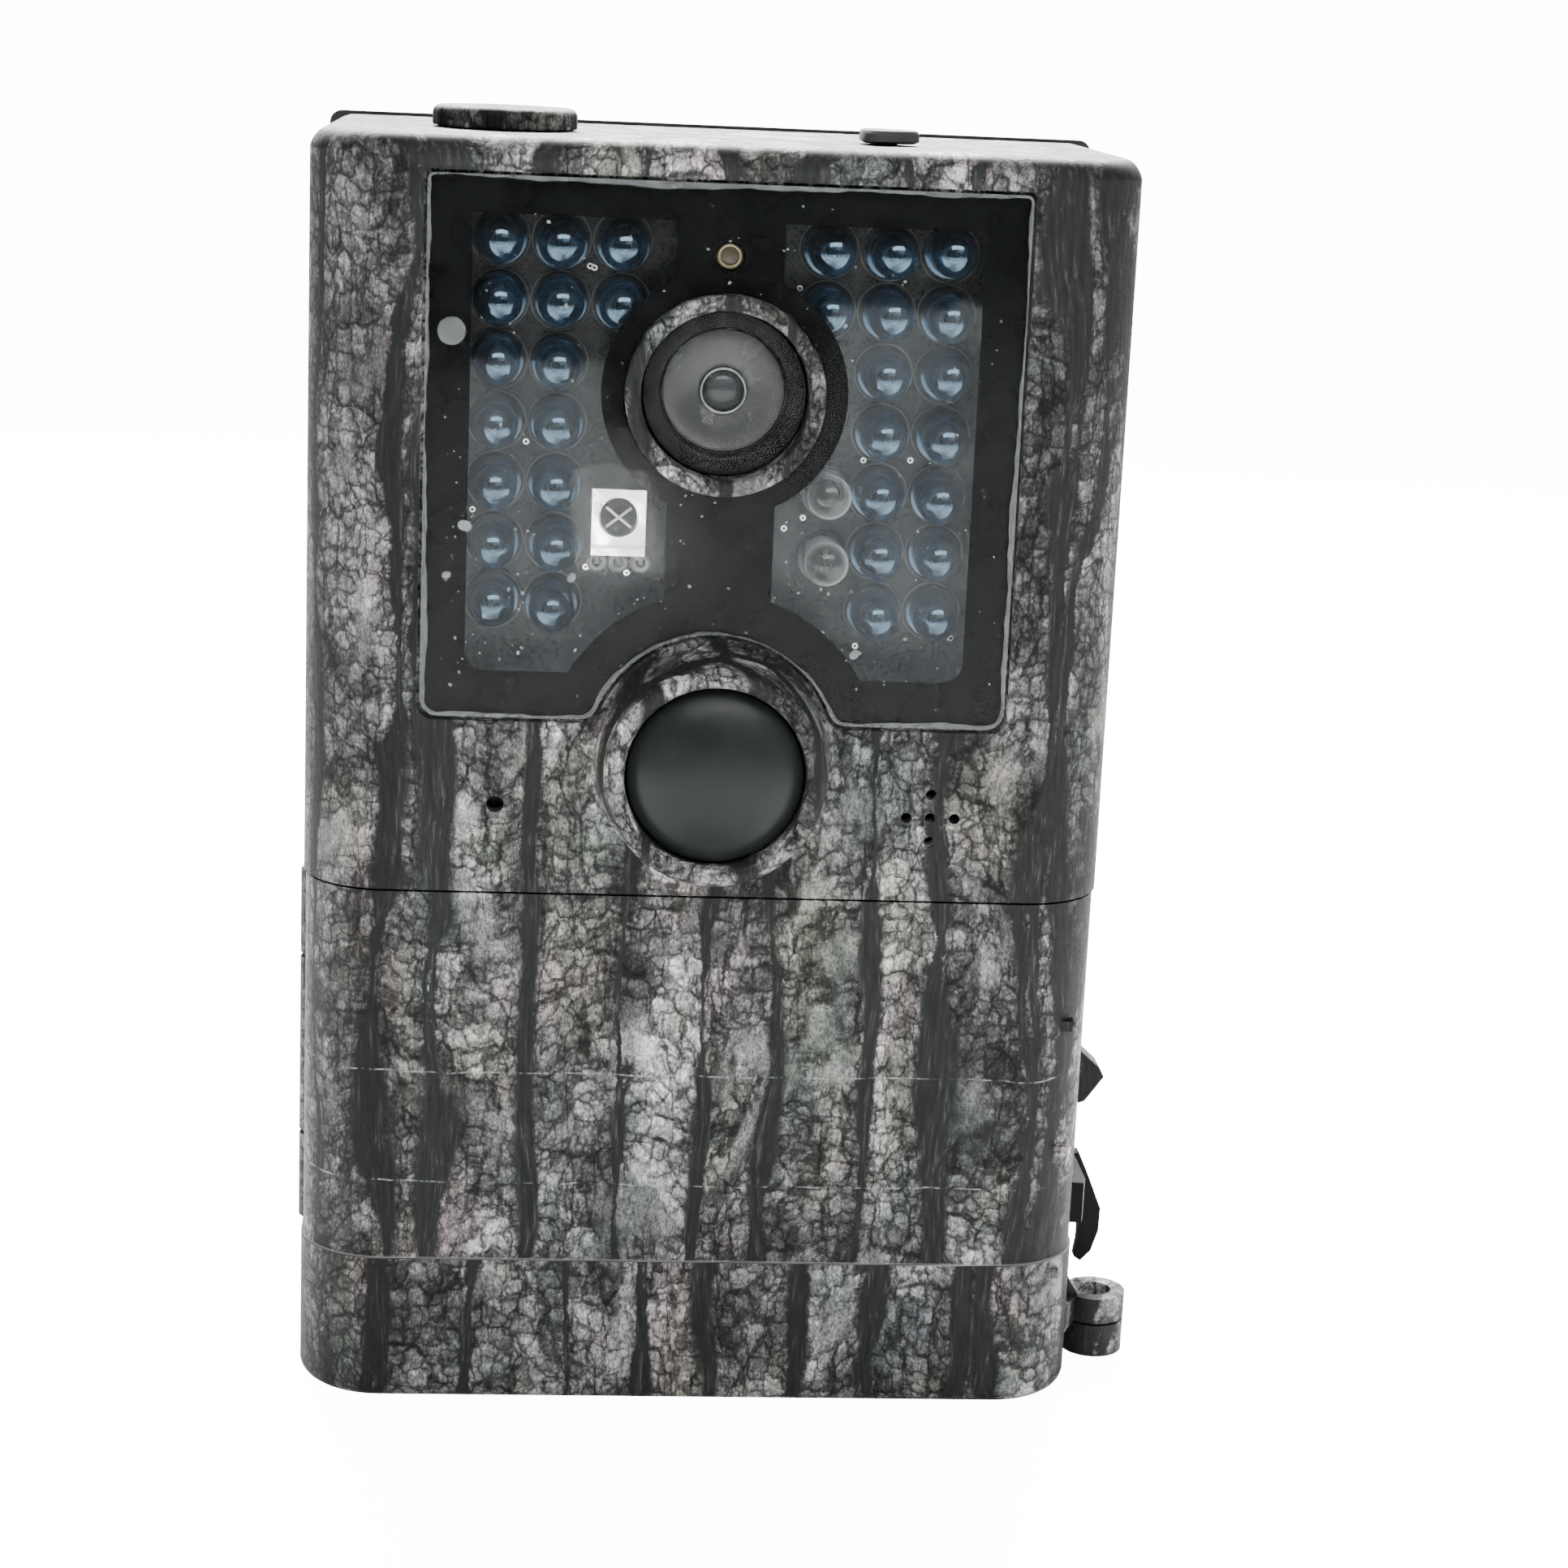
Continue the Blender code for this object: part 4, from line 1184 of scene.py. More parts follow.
def knuckle(low: float, high: float) -> Piece:
    """A hinge knuckle between two heights, with its ends eased."""
    profile = [(0, low), (2.05, low), (2.2, low + 0.15), (2.2, high - 0.15), (2.05, high), (0, high)]
    return lathe("knuckle", profile, Axis.Z, HINGE, 48)


def hinge_work(scoops: Sequence[Span], knuckles: Sequence[Span], bore: Span) -> list[tuple[Carve, Piece]]:
    """The hinge cut into a finished shell: room for the other shell's knuckles, its own, and the pin's bore.

    Args:
        scoops: lower and upper end of each room.
        knuckles: lower and upper end of each knuckle.
        bore: lower and upper end of the pin's bore.

    Returns:
        Pairs of what to do and the tool.
    """
    return [
        (Carve.CUT, merged("scoops", [rod("scoop", 2.65, Axis.Z, HINGE, *span) for span in scoops])),
        (Carve.ADD, merged("knuckles", [knuckle(*span) for span in knuckles])),
        (Carve.CUT, rod("pin_bore", 1.08, Axis.Z, HINGE, *bore, 24)),
    ]


# ------------------------------------------------------------------------------------------------ the shells


@dataclass
class FrontHousing:
    """The upper face and side walls with the sensor collar, hinge knuckles, latch pocket and lower ear."""

    bench: Bench
    half: float = 45.0
    top: float = 142.5
    depth: float = 46.0

    def collar(self) -> list[tuple[Carve, Piece]]:
        """The sensor collar, a tapering tube wall with a softly rounded front, and the cuts beside it.

        Returns:
            Pairs of what to do and the tool.
        """
        lip = arc((10.85, -8.85), 1.15, 270, 350, 8)
        wall = np.vstack([[(0, -10.0)], lip, [(12.9, -0.6), (13.4, 0.0), (13.4, 2.2), (0, 2.2)]])
        bore = [(0, -12.0), (11.2, -12.0), (11.2, -10.2), (10.75, -9.95), (10.25, -9.7), (9.95, -9.3),
                (9.8, -8.7), (9.8, 3.5), (0, 3.5)]
        return [
            (Carve.ADD, lathe("collar", wall, Axis.Y, SENSOR_EYE, 96)),
            (Carve.CUT, extrude("window_way", window_outline(2.4), Axis.Y, 1.5, 3.4)),
            (Carve.CUT, lathe("bore", bore, Axis.Y, SENSOR_EYE, 96)),
        ]

    def steps(self) -> list[tuple[Carve, Piece]]:
        """Every cut and addition in order.

        Returns:
            Pairs of what to do and the tool.
        """
        cut, add, y, z = Carve.CUT, Carve.ADD, Axis.Y, Axis.Z
        sound = [(24.5, 0, 70.1), (27.2, 0, 70.1), (21.8, 0, 70.1), (24.5, 0, 72.8), (24.5, 0, 67.4)]
        return [
            (cut, block("door_bay", (-60, 60), (-1, 16.15), (-1, 60.6))),
            (cut, extrude("upper_room", rounded((-42.4, 42.4), (2.4, 48), 5), z, 63.2, self.top - 2.6)),
            (cut, extrude("lower_room", rounded((-39.6, 41.4), (18.4, 49), 1.5), z, 2.4, 64)),
            (cut, extrude("window_seat", window_outline(-0.25), y, -1, 1.9)),
            *self.collar(),
            (cut, rod("sound_holes", 0.6, y, sound, -1, 3.3, 24)),
            (cut, rod("voice_hole", 0.95, y, (-23.6, 0, 70.5), -1, 3.3, 24)),
            (cut, extrude("panel_way", rounded((-37.5, 37.5), (6.5, 56.5), 1.5), y, 15, 19.5)),
            (cut, rod("cap_seat", 6.0, z, CAP, self.top - 1.3, self.top + 1)),
            (cut, rod("plug_hole", 1.65, z, PLUG, self.top - 4, self.top + 1, 24)),
            (add, ear("lower_ear", (16.9, 23.0), (1.2, 5.1), 215)),
            (cut, rod("lower_eye", 2.0, z, PADLOCK_EYE, 0, 6.5)),
            (cut, rod("latch_pocket", 1.95, z, LATCH, 10.4, 25.0)),
            (cut, block("latch_clear", (44, 47), (17.3, 21.9), (10.4, 25.0))),
            (cut, rod("latch_bore", 0.78, z, LATCH, 8.0, 27.4, 16)),
            (cut, rod("tripod_way", 5.3, z, TRIPOD, -1, 3.5)),
            (cut, block("release_way", (-5.3, 5.3), (36.2, 41.8), (-1, 3.5))),
            (cut, rod("jack_way", 3.3, z, JACK, -1, 3.5)),
        ]

    def build(self) -> None:
        """Makes, finishes and hands in the shell."""
        t = self.top
        levels = [(0, 1.4), (0.2, 0.9), (0.5, 0.5), (0.9, 0.2), (1.5, 0), (t - 2.2, 0), (t - 1.8, 0.1),
                  (t - 1.4, 0.3), (t - 1.0, 0.55), (t - 0.6, 0.9), (t - 0.25, 1.4), (t, 2.2)]
        body = carve(shell("front_shell", levels, (0, self.depth), (9.5, 0.8), self.half), self.steps())
        scoops, knuckles = ((-1, 16.3), (26.7, 48.4), (58.6, 60.6)), ((16.3, 26.65), (48.45, 58.6))
        work = hinge_work(scoops, knuckles, (15.4, 59.6))
        body = settle(carve(ease_edges(body, 0.22), work))
        self.bench.hand_in(body, "camera", "bark_film", "camouflage", "front_housing")


@dataclass
class LowerDoor:
    """The door over the controls: a shallow shell with the middle knuckle, pull wedge, claw groove and ear."""

    bench: Bench
    height: float = 60.3
    depth: float = 15.85
    half: float = 45.0

    def build(self) -> None:
        """Makes, finishes and hands in the door shell and its seal."""
        cut, add, y, z = Carve.CUT, Carve.ADD, Axis.Y, Axis.Z
        levels = [(0, 1.4), (0.2, 0.9), (0.5, 0.5), (0.9, 0.2), (1.5, 0), (17.2, 0), (17.45, 0.25),
                  (self.height, 0.25)]
        body = shell("door_shell", levels, (0, self.depth), (9.5, 0.8), self.half)
        inside = np.vstack([arc((-36.2, 6.4), 4, 180, 270, 10), arc((36.4, 8.4), 6, 270, 360, 10),
                            [(42.4, 17.0), (-40.2, 17.0)]])
        wedge = np.array([(44.2, 40.6), (44.2, 33.0), (46.0, 33.6), (48.1, 36.6), (47.6, 37.6)])
        web = np.array([(44.3, 13.2), (44.3, 8.0), (47.4, 8.0)])
        ribs = [block("rib", (-40.4, 42.6), (2.0, 3.6), (a, a + 1.2)) for a in (15.0, 30.0, 45.0)]
        ribs += [block("rib", (a, a + 1.2), (2.0, 3.6), (2.0, 58.0)) for a in (-26.0, -13.0, 0.0, 13.0, 26.0)]
        carve(body, [
            (cut, extrude("door_room", inside, z, 2.4, self.height - 2.4)),
            *((add, rib) for rib in ribs),
            (add, ear("upper_ear", (7.0, 14.5), (5.4, 8.5), 225)),
            (add, extrude("gusset", web, y, 12.6, 14.6)),
            (cut, rod("upper_eye", 2.0, z, PADLOCK_EYE, 4.5, 9.5)),
            (add, extrude("pull_wedge", wedge, y, 11.0, 15.4)),
            (cut, block("claw_groove", (44.0, 46.0), (8.3, 17.0), (18.4, 24.6))),
        ])
        work = hinge_work(((-1, 26.9), (48.2, 61.3)), ((26.95, 48.15),), (20, 55))
        body = settle(carve(ease_edges(body, 0.22, angle=50.0), work))
        self.bench.hand_in(body, "door", "door_film", "camouflage", "lower_door")
        self.bench.hand_in(self.seal(), "door", "soft_rubber", "rubber", "door_seal")

    def seal(self) -> Piece:
        """The door's rubber seal: a lipped section carried round a rounded rectangle.

        Returns:
            The closed ring.
        """
        insets = np.array([0.0, 0.0, 0.35, 0.85, 1.2, 1.2])
        depths = np.array([15.5, 14.35, 13.9, 13.9, 14.35, 15.5])
        loops = [rounded((-39.9 + i, 42.1 - i), (2.7 + i, 57.6 - i), 2.0 - 0.6 * i, 8) for i in insets]
        loops = np.stack(loops)
        points = place_axes(depths[:, None], loops[..., 0], loops[..., 1], Axis.Y)
        return smooth(make_piece("door_seal_lip", points.reshape(-1, 3), grid_faces(6, loops.shape[1], True)))


@dataclass
class RearHousing:
    """The back half, the rim gasket between the halves, the strap bracket and every screw."""

    bench: Bench
    low: float = 46.9
    high: float = 67.0
    top: float = 142.5

    def build(self) -> None:
        """Makes, finishes and hands in the rear pieces."""
        cut, z, y = Carve.CUT, Axis.Z, Axis.Y
        low, high, top = self.low, self.high, self.top
        levels = [(0, 1.6), (0.3, 1.0), (0.6, 0.6), (1.0, 0.25), (1.6, 0), (top - 3.4, 0), (top - 2.6, 0.15),
                  (top - 2.0, 0.5), (top - 1.4, 1.1), (top - 0.9, 2)]
        body = shell("rear_shell", levels, (low, high), (0.8, 8.0), 44.7)
        room = np.vstack([[(-42.3, low - 1), (42.3, low - 1)], arc((36.3, high - 8.4), 6, 0, 90, 10),
                          arc((-36.3, high - 8.4), 6, 90, 180, 10)])
        corners = [(x, 0, v) for x in (-36, 36) for v in (12, 130)]
        mid = [(x, 0, v) for x in (-13, 13) for v in (48, 96)]
        grooves = [block("groove", (x - 0.7, x + 0.7), (51.5 + 2.6 * k, 52.6 + 2.6 * k), (18, 124))
                   for x in (-44.9, 44.9) for k in range(3)]
        carve(body, [
            (cut, extrude("rear_room", room, z, 2.4, top - 3.4)),
            (cut, block("tray_way", (-31.6, 31.6), (low - 2, 64.62), (-1, 3.5))),
            (cut, rod("corner_wells", 2.75, y, corners, high - 2.0, high + 1, 32)),
            (cut, rod("corner_bores", 1.4, y, corners, high - 4, high, 24)),
            (cut, rod("mid_bores", 1.4, y, mid, high - 4, high + 1, 24)),
            (cut, merged("side_grooves", grooves)),
        ])
        self.bench.hand_in(ease_edges(body, 0.25), "camera", "bark_film", "camouflage", "rear_housing")
        self.gasket()
        self.bracket(mid)
        for kind, spots, head in (("case", corners, high - 0.2), ("bracket", mid, high + 4.3)):
            self.screws(f"{kind}_screw_heads", spots, head, [f"{kind}_screw_{i}" for i in (1, 2, 3, 4)])

    def gasket(self) -> None:
        """The dark gasket that shows as a line all round between the two halves."""
        outer = rounded((-45.35, 45.35), (0.1, self.top + 0.4), 1.4, 8)
        inner = rounded((-42.7, 42.7), (2.6, self.top - 3.6), 1.4, 8)
        rim = ease_edges(band("rim_seal", outer, inner, Axis.Y, 46.15, 46.75), 0.12)
        self.bench.hand_in(rim, "camera", "soft_rubber", "rubber", "rim_gasket")

    def bracket(self, mid: Sequence) -> None:
        """The strap bracket on the back, with cross teeth that bite the bark.

        Args:
            mid: the centres of its four screws.
        """
        h = self.high
        outline = np.array([(-23, h + 0.3), (23, h + 0.3), (23, h + 5.4), (19.5, h + 5.4), (19.5, h + 2.4),
                            (-19.5, h + 2.4), (-19.5, h + 5.4), (-23, h + 5.4)])
        teeth = []
        for s, a, b in ((-1, 4.3, 5.6), (1, 5.6, 4.3)):
            notch = np.array([(s * 23.3, h + a), (s * 19.2, h + a), (s * 19.2, h + b), (s * 23.3, h + b)])
            teeth += [extrude("tooth", notch, Axis.Z, v, v + 1.6) for v in np.arange(43.0, 102.0, 4.0)]
        pads = [block("pad", (-18.5, 18.5), (h + 2.0, h + 2.9), (v, v + 1.2)) for v in (54.0, 72.0, 90.0)]
        body = carve(extrude("strap_bracket", outline, Axis.Z, 40, 104), [
            (Carve.CUT, merged("teeth", teeth)),
            (Carve.ADD, merged("pads", pads)),
            (Carve.CUT, block("strap_way", (-26, 26), (h + 2.6, h + 4.4), (60, 86))),
            (Carve.CUT, rod("screw_ways", 1.4, Axis.Y, mid, h - 1, h + 3.5, 24)),
        ])
        self.bench.hand_in(ease_edges(body, 0.3), "camera", "black_plastic", "dark_plastic", "rear_bracket")

    def screws(self, name: str, spots: Sequence, head: float, nodes: Sequence[str]) -> None:
        """Pan-head screws with a cross in each head, seen from the back.

        Args:
            name: the piece's name.
            spots: one centre for each screw.
            head: depth of the heads' tops.
            nodes: the CAD nodes they stand for.
        """
        profile = [(radius, head - drop) for radius, drop in (
            (0, 3.6), (1.1, 3.6), (1.1, 1.5), (2.4, 1.5), (2.4, 0.9), (2.25, 0.5), (1.9, 0.15), (1.5, 0), (0, 0))]
        made = lathe(name, profile, Axis.Y, spots, 32)
        crosses = []
        for a, b, deep in ((1.25, 0.25, 0.7), (0.25, 1.25, 0.65)):
            slots = [block("slot", (x - a, x + a), (head - deep, head + 1), (v - b, v + b))
                     for x, _, v in spots]
            crosses.append((Carve.CUT, merged("slots", slots)))
        carve(made, crosses)
        self.bench.hand_in(smooth(made), "camera", "satin_steel", "steel", *nodes)


# ------------------------------------------------------------------------------------------------ the window


@dataclass
class Window:
    """The clear window, the black print behind it, its lifted film edges and the dust on it."""

    bench: Bench
    seed: int = 11
    eye: float = 10.95
    samples: int = 900

    def build(self) -> None:
        """Makes, finishes and hands in the window's pieces."""
        cut, y = Carve.CUT, Axis.Y
        panel = carve(extrude("window_pane", window_outline(0.05), y, 0.35, 1.25),
                      [(cut, rod("eye_way", self.eye, y, LENS_EYE, -1, 3, 96))])
        self.bench.hand_in(ease_edges(panel, 0.12), "camera", "window_clear", "window_clear", "window_panel")
        mask = carve(extrude("window_print", window_outline(0.15), y, 1.4, 1.65), [
            (cut, rod("eye_way", self.eye, y, LENS_EYE, -1, 3, 96)),
            (cut, extrude("left_zone", clear_zone(-1), y, 0, 3)),
            (cut, extrude("right_zone", clear_zone(1), y, 0, 3)),
            (cut, rod("sensor_spot", 1.65, y, LIGHT_EYE, 0, 3)),
        ])
        self.bench.hand_in(smooth(mask), "camera", "window_print", "mask_black", "window_mask")
        for side, name in ((-1, "left"), (1, "right")):
            skin = extrude(f"{name}_zone_film", clear_zone(side), y, 1.30, 1.34)
            self.bench.hand_in(smooth(skin), "camera", "zone_film", "window_clear")
        self.bench.hand_in(self.film_edge(), "camera", "film_edge", "window_clear")
        bubble = [(0, 0.345), (1.5, 0.345), (1.45, 0.32), (1.2, 0.31), (1.1, 0.29), (0, 0.28)]
        self.bench.turned("window_blister", bubble, (-29.3, 0, 122.0), "film_edge", "window_clear", angle=60)
        self.bench.hand_in(self.specks(), "camera", "speck", "window_clear")

    def film_edge(self) -> Piece:
        """The film's raised rim: a strip inside the outline whose width wanders.

        The inner line is the outline moved to its own inset plus a sum of sines, pulled towards the middle
        of the window by that width.

        Returns:
            A closed thin ring.
        """
        outer = window_outline(0.12)
        closed = np.vstack([outer, outer[:1]])
        along = np.concatenate([[0], np.cumsum(np.linalg.norm(np.diff(closed, axis=0), axis=1))])
        even = np.linspace(0, along[-1], self.samples, endpoint=False)
        outer = np.stack([np.interp(even, along, closed[:, k]) for k in (0, 1)], -1)
        run = np.roll(outer, -2, axis=0) - np.roll(outer, 2, axis=0)
        inward = np.stack([-run[:, 1], run[:, 0]], -1)
        inward /= np.linalg.norm(inward, axis=1, keepdims=True)
        waves = ((3, 0.5), (7, 0.4), (17, 0.3), (41, 0.18), (97, 0.12))
        width = 0.42 + 0.30 * ripple(self.samples, waves, self.seed)
        inner = outer + inward * np.clip(width, 0.12, 0.95)[:, None]
        return band("window_film_edge", outer, inner, Axis.Y, 0.26, 0.33)

    def specks(self) -> Piece:
        """Dust and small bubbles: flat domes scattered over the window, and four larger ones.

        Returns:
            One piece of many low domes.
        """
        rng, count, sides = np.random.default_rng(self.seed), 320, 12
        across = rng.uniform(-30.5, 30.5, count)
        spread = np.stack([across, np.zeros(count), 81.5 + 56 * rng.beta(1.1, 1.6, count)], -1)
        clear = np.hypot(spread[:, 0], spread[:, 2] - SENSOR_EYE[2]) > 14.4
        clear &= np.hypot(spread[:, 0], spread[:, 2] - LENS_EYE[2]) > 11.2
        spread = spread[clear]
        size = 0.07 + 0.30 * rng.beta(0.7, 5.0, len(spread))
        large = np.array([(-27.5, 0, 101.2), (-29.4, 0, 95.8), (-15.9, 0, 95.9), (15.2, 0, 88.3)])
        spots = np.vstack([spread, large])
        size = np.concatenate([size, [0.7, 0.45, 0.5, 0.55]])
        one = np.array([(0, 0.345), (1.0, 0.345), (0.92, 0.325), (0.6, 0.30), (0.0, 0.29)])
        turn = 2 * np.pi * np.arange(sides) / sides
        wobble = 1 + 0.16 * np.sin(2 * turn[None] + rng.uniform(0, 6, (len(spots), 1)))
        reach = size[:, None, None] * one[None, :, :1] * wobble[:, None, :]
        x = spots[:, 0, None, None] + reach * np.cos(turn)
        v = spots[:, 2, None, None] + reach * np.sin(turn)
        points = place_axes(np.broadcast_to(one[None, :, 1:], x.shape), x, v, Axis.Y)
        quads = grid_faces(len(one), sides)[None] + (np.arange(len(spots)) * len(one) * sides)[:, None, None]
        return smooth(make_piece("window_specks", points.reshape(-1, 3), quads.reshape(-1, 4)), 60)


@dataclass
class Lens:
    """The lens stack: camouflaged ring, cover, stepped holder, barrel, front ring and glass."""

    bench: Bench

    def build(self) -> None:
        """Makes, finishes and hands in the lens pieces."""
        ring = np.vstack([arc((10.35, -0.45), 0.45, 360, 270, 6), arc((9.6, -0.35), 0.55, 270, 180, 6),
                          [(9.05, 9.6), (10.8, 9.6)]])
        cover = [(0, 1.5), (8.3, 1.5), (8.6, 1.56), (8.75, 1.7), (8.75, 2.2), (8.6, 2.3), (0, 2.3)]
        turns = np.arange(0, 12)
        steps = np.stack([7.05 + 0.22 * (turns % 2), 2.75 + 0.42 * turns], -1)
        holder = np.vstack([[(8.75, 13.0), (8.75, 2.6), (7.3, 2.6)], steps,
                            [(7.05, 8.2), (6.55, 8.3), (6.55, 13.0)]])
        barrel = [(0, 8.4), (2.2, 8.4), (2.3, 8.0), (2.05, 7.9), (2.3, 7.8), (2.5, 5.7), (2.6, 5.45),
                  (3.0, 5.25), (6.3, 5.0), (6.6, 5.05), (6.75, 5.3), (6.75, 7.6), (6.2, 8.0), (6.2, 9.0),
                  (6.0, 9.2), (6.2, 9.4), (6.2, 21.5), (0, 21.5)]
        glass = [(0, 5.5), (0.5, 5.53), (1.0, 5.63), (1.5, 5.82), (1.9, 6.05), (2.2, 6.35), (2.2, 7.6),
                 (0, 7.6)]
        for name, profile, closed, finish, slot, *nodes in (
            ("lens_ring", ring, True, "bark_film", "camouflage", "lens_bezel"),
            ("lens_pane", cover, False, "lens_cover_pane", "window_clear", "lens_cover"),
            ("lens_holder_steps", holder, True, "lens_black", "dark_plastic", "lens_holder"),
            ("lens_tube", barrel, False, "lens_dust", "dark_plastic", "lens_barrel"),
            ("lens_rim", arc((2.42, 5.15), 0.16, 0, 330, 11), True, "lens_rim", "steel"),
            ("lens_glass", glass, False, "lens_coat", "window_clear", "lens_element"),
        ):
            self.bench.turned(name, profile, LENS_EYE, finish, slot, *nodes, steps=96, angle=32,
                              closed=closed)


@dataclass
class LampField:
    """The lamp board with its thirty-two infrared lamps, two indicators, remote receiver and light sensor."""

    bench: Bench
    pitch: float = 6.63
    rows: tuple[int, ...] = (3, 3, 2, 2, 2, 2, 2)
    columns: tuple[float, ...] = (-24.5, -17.87, -11.24)
    top: float = 131.4

    def spots(self) -> Array:
        """The lamps' centres on the face.

        Returns:
            (32, 3) points at depth nought.
        """
        left = np.array([(self.columns[c], 0.0, self.top - r * self.pitch)
                         for r, n in enumerate(self.rows) for c in range(n)])
        return np.vstack([left, left * (-1, 1, 1)])

    def dome(self, flange: Sequence[tuple[float, float]]) -> Array:
        """A 5 mm lamp's profile: a quarter circle, a straight side and a flange.

        Args:
            flange: the radius and depth pairs from the straight side back.

        Returns:
            The profile.
        """
        round_nose = [(2.5 * math.sin(a), 4.8 - 2.5 * math.cos(a)) for a in np.radians(np.arange(10, 91, 10))]
        return np.vstack([[(0.0, 2.3)], round_nose, flange])

    def lamps(self, lean: Array) -> None:
        """The infrared lamps: clear domes with the cup and chip inside each.

        Args:
            lean: small (x, z) shift of each lamp, as hand-soldered lamps never stand quite true.
        """
        spots = self.spots()
        spots = spots + place_axes(np.zeros(len(spots)), lean[:, 0], lean[:, 1], Axis.Y)
        dome = self.dome([(2.5, 8.9), (2.85, 8.95), (2.9, 9.3), (2.85, 9.65), (0.0, 9.65)])
        core = [(0, 7.9), (1.9, 7.6), (2.05, 7.2), (1.9, 6.6), (1.35, 6.35), (1.1, 6.3), (0, 6.3)]
        cup = [(0.78, 6.3), (0.74, 5.85), (0.86, 5.72), (0.98, 5.85), (1.0, 6.3)]
        chip = [(0, 6.0), (0.3, 6.0), (0.34, 6.1), (0.34, 6.3), (0, 6.3)]
        turned = self.bench.turned
        turned("infrared_domes", dome, spots, "lamp_epoxy", "lamp_clear", steps=32)
        turned("infrared_cores", core, spots, "infrared_core", "lamp_clear", steps=24, angle=40)
        turned("infrared_cups", cup, spots, "infrared_cup", "steel", steps=24, angle=40, closed=True)
        turned("infrared_chips", chip, spots, "lens_black", "steel", steps=8, angle=30)

    def board(self) -> None:
        """The lamp board with its print rings and vias."""
        holes = [(-29, 0, 85), (29, 0, 85), (-29, 0, 134.8), (29, 0, 134.8)]
        plate = carve(extrude("lamp_board", rounded((-31, 31), (83, 136.8), 1.2, 6), Axis.Y, 10.0, 11.6), [
            (Carve.CUT, rod("board_eye", 11.2, Axis.Y, LENS_EYE, 8, 13, 64)),
            (Carve.CUT, rod("board_arch", 8.0, Axis.Y, SENSOR_EYE, 8, 13, 64)),
            (Carve.CUT, rod("board_holes", 1.1, Axis.Y, holes, 8, 13, 24)),
        ])
        self.bench.hand_in(ease_edges(plate, 0.1), "camera", "lamp_board_mask", "lamp_clear", "led_board")
        spots = self.spots()
        ring = [(3.12, 9.99), (3.12, 9.93), (3.3, 9.93), (3.3, 9.99)]
        rings = lathe("board_print_rings", ring, Axis.Y, spots, 40, True)
        self.bench.hand_in(rings, "camera", "board_print", "board")
        rng, count = np.random.default_rng(5), 90
        vias = np.stack([rng.uniform(-27, 27, count), np.zeros(count), rng.uniform(85, 134, count)], -1)
        away = np.linalg.norm(vias[:, None, [0, 2]] - spots[None, :, [0, 2]], axis=-1).min(1) > 3.5
        away &= np.hypot(vias[:, 0], vias[:, 2] - LENS_EYE[2]) > 12.2
        away &= np.hypot(vias[:, 0], vias[:, 2] - SENSOR_EYE[2]) > 9
        pad = [(0.16, 9.99), (0.16, 9.95), (0.34, 9.95), (0.34, 9.99)]
        made = lathe("board_vias", pad, Axis.Y, vias[away], 12, True)
        self.bench.hand_in(made, "camera", "tinned_can", "steel")

    def receiver(self) -> None:
        """The remote receiver: a folded can with a round dark window, a cross and three soldered legs."""
        x0, _, z0 = RECEIVER_EYE
        can = carve(block("receiver_can", (-13.9, -7.9), (5.0, 9.7), (97.6, 105.0)), [
            (Carve.CUT, rod("can_window", 2.15, Axis.Y, RECEIVER_EYE, 4, 5.6, 40)),
            (Carve.CUT, block("fold", (-14.2, -7.6), (4.0, 5.12), (98.55, 98.75))),
        ])
        self.bench.hand_in(ease_edges(can, 0.25, 3), "camera", "tinned_can", "steel", "ir_receiver")
        bulge = [(0, 5.05), (0.9, 5.08), (1.6, 5.2), (2.05, 5.45), (2.05, 5.7), (0, 5.7)]
        self.bench.turned("receiver_eye", bulge, RECEIVER_EYE, "lens_black", "dark_plastic", angle=60)
        run, tilt = np.linspace(-1.75, 1.75, 9), math.radians(38.0)
        bars = [np.stack([x0 + run * math.cos(a), np.full(9, 5.06), z0 + run * math.sin(a)], -1)
                for a in (tilt, -tilt)]
        legs = [np.array([(a, 8.6, 97.9), (a, 8.6, 97.0), (b, 8.9, 96.6), (b, 9.3, 96.2), (b, 9.85, 96.1)])
                for a, b in ((-12.9, -13.1), (-10.8, -10.7), (-8.9, -8.2))]
        for name, paths, radius in (("receiver_cross", bars, 0.16), ("receiver_legs", legs, 0.28)):
            wire = smooth(tube(name, np.stack(paths), radius, 8))
            self.bench.hand_in(wire, "camera", "bright_solder", "steel")
        blob = [(0.55, 9.99), (0.62, 9.6), (0.85, 9.45), (1.05, 9.6), (1.12, 9.99)]
        feet = [(b, 0, 96.1) for b in (-13.1, -10.7, -8.2)]
        self.bench.turned("solder_rings", blob, feet, "bright_solder", "steel", steps=28, closed=True)

    def light_sensor(self) -> None:
        """The light sensor: a brass can with a dark dished window."""
        can = [(1.0, 2.6), (1.02, 2.25), (1.2, 2.2), (1.42, 2.25), (1.5, 2.4), (1.5, 9.7), (1.0, 9.7)]
        self.bench.turned("light_can", can, LIGHT_EYE, "dull_brass", "brass", "light_sensor", closed=True)
        eye = [(0, 2.5), (0.6, 2.52), (1.0, 2.62), (1.0, 3.2), (0, 3.2)]
        self.bench.turned("light_eye", eye, LIGHT_EYE, "sensor_brown", "brass", steps=32)

    def build(self) -> None:
        """Makes, finishes and hands in the whole lamp field."""
        self.lamps(np.random.default_rng(23).normal(0, 0.11, (len(self.spots()), 2)))
        self.indicators([(12.05, 0, 104.9), (12.05, 0, 97.5)])
        self.board()
        self.receiver()
        self.light_sensor()

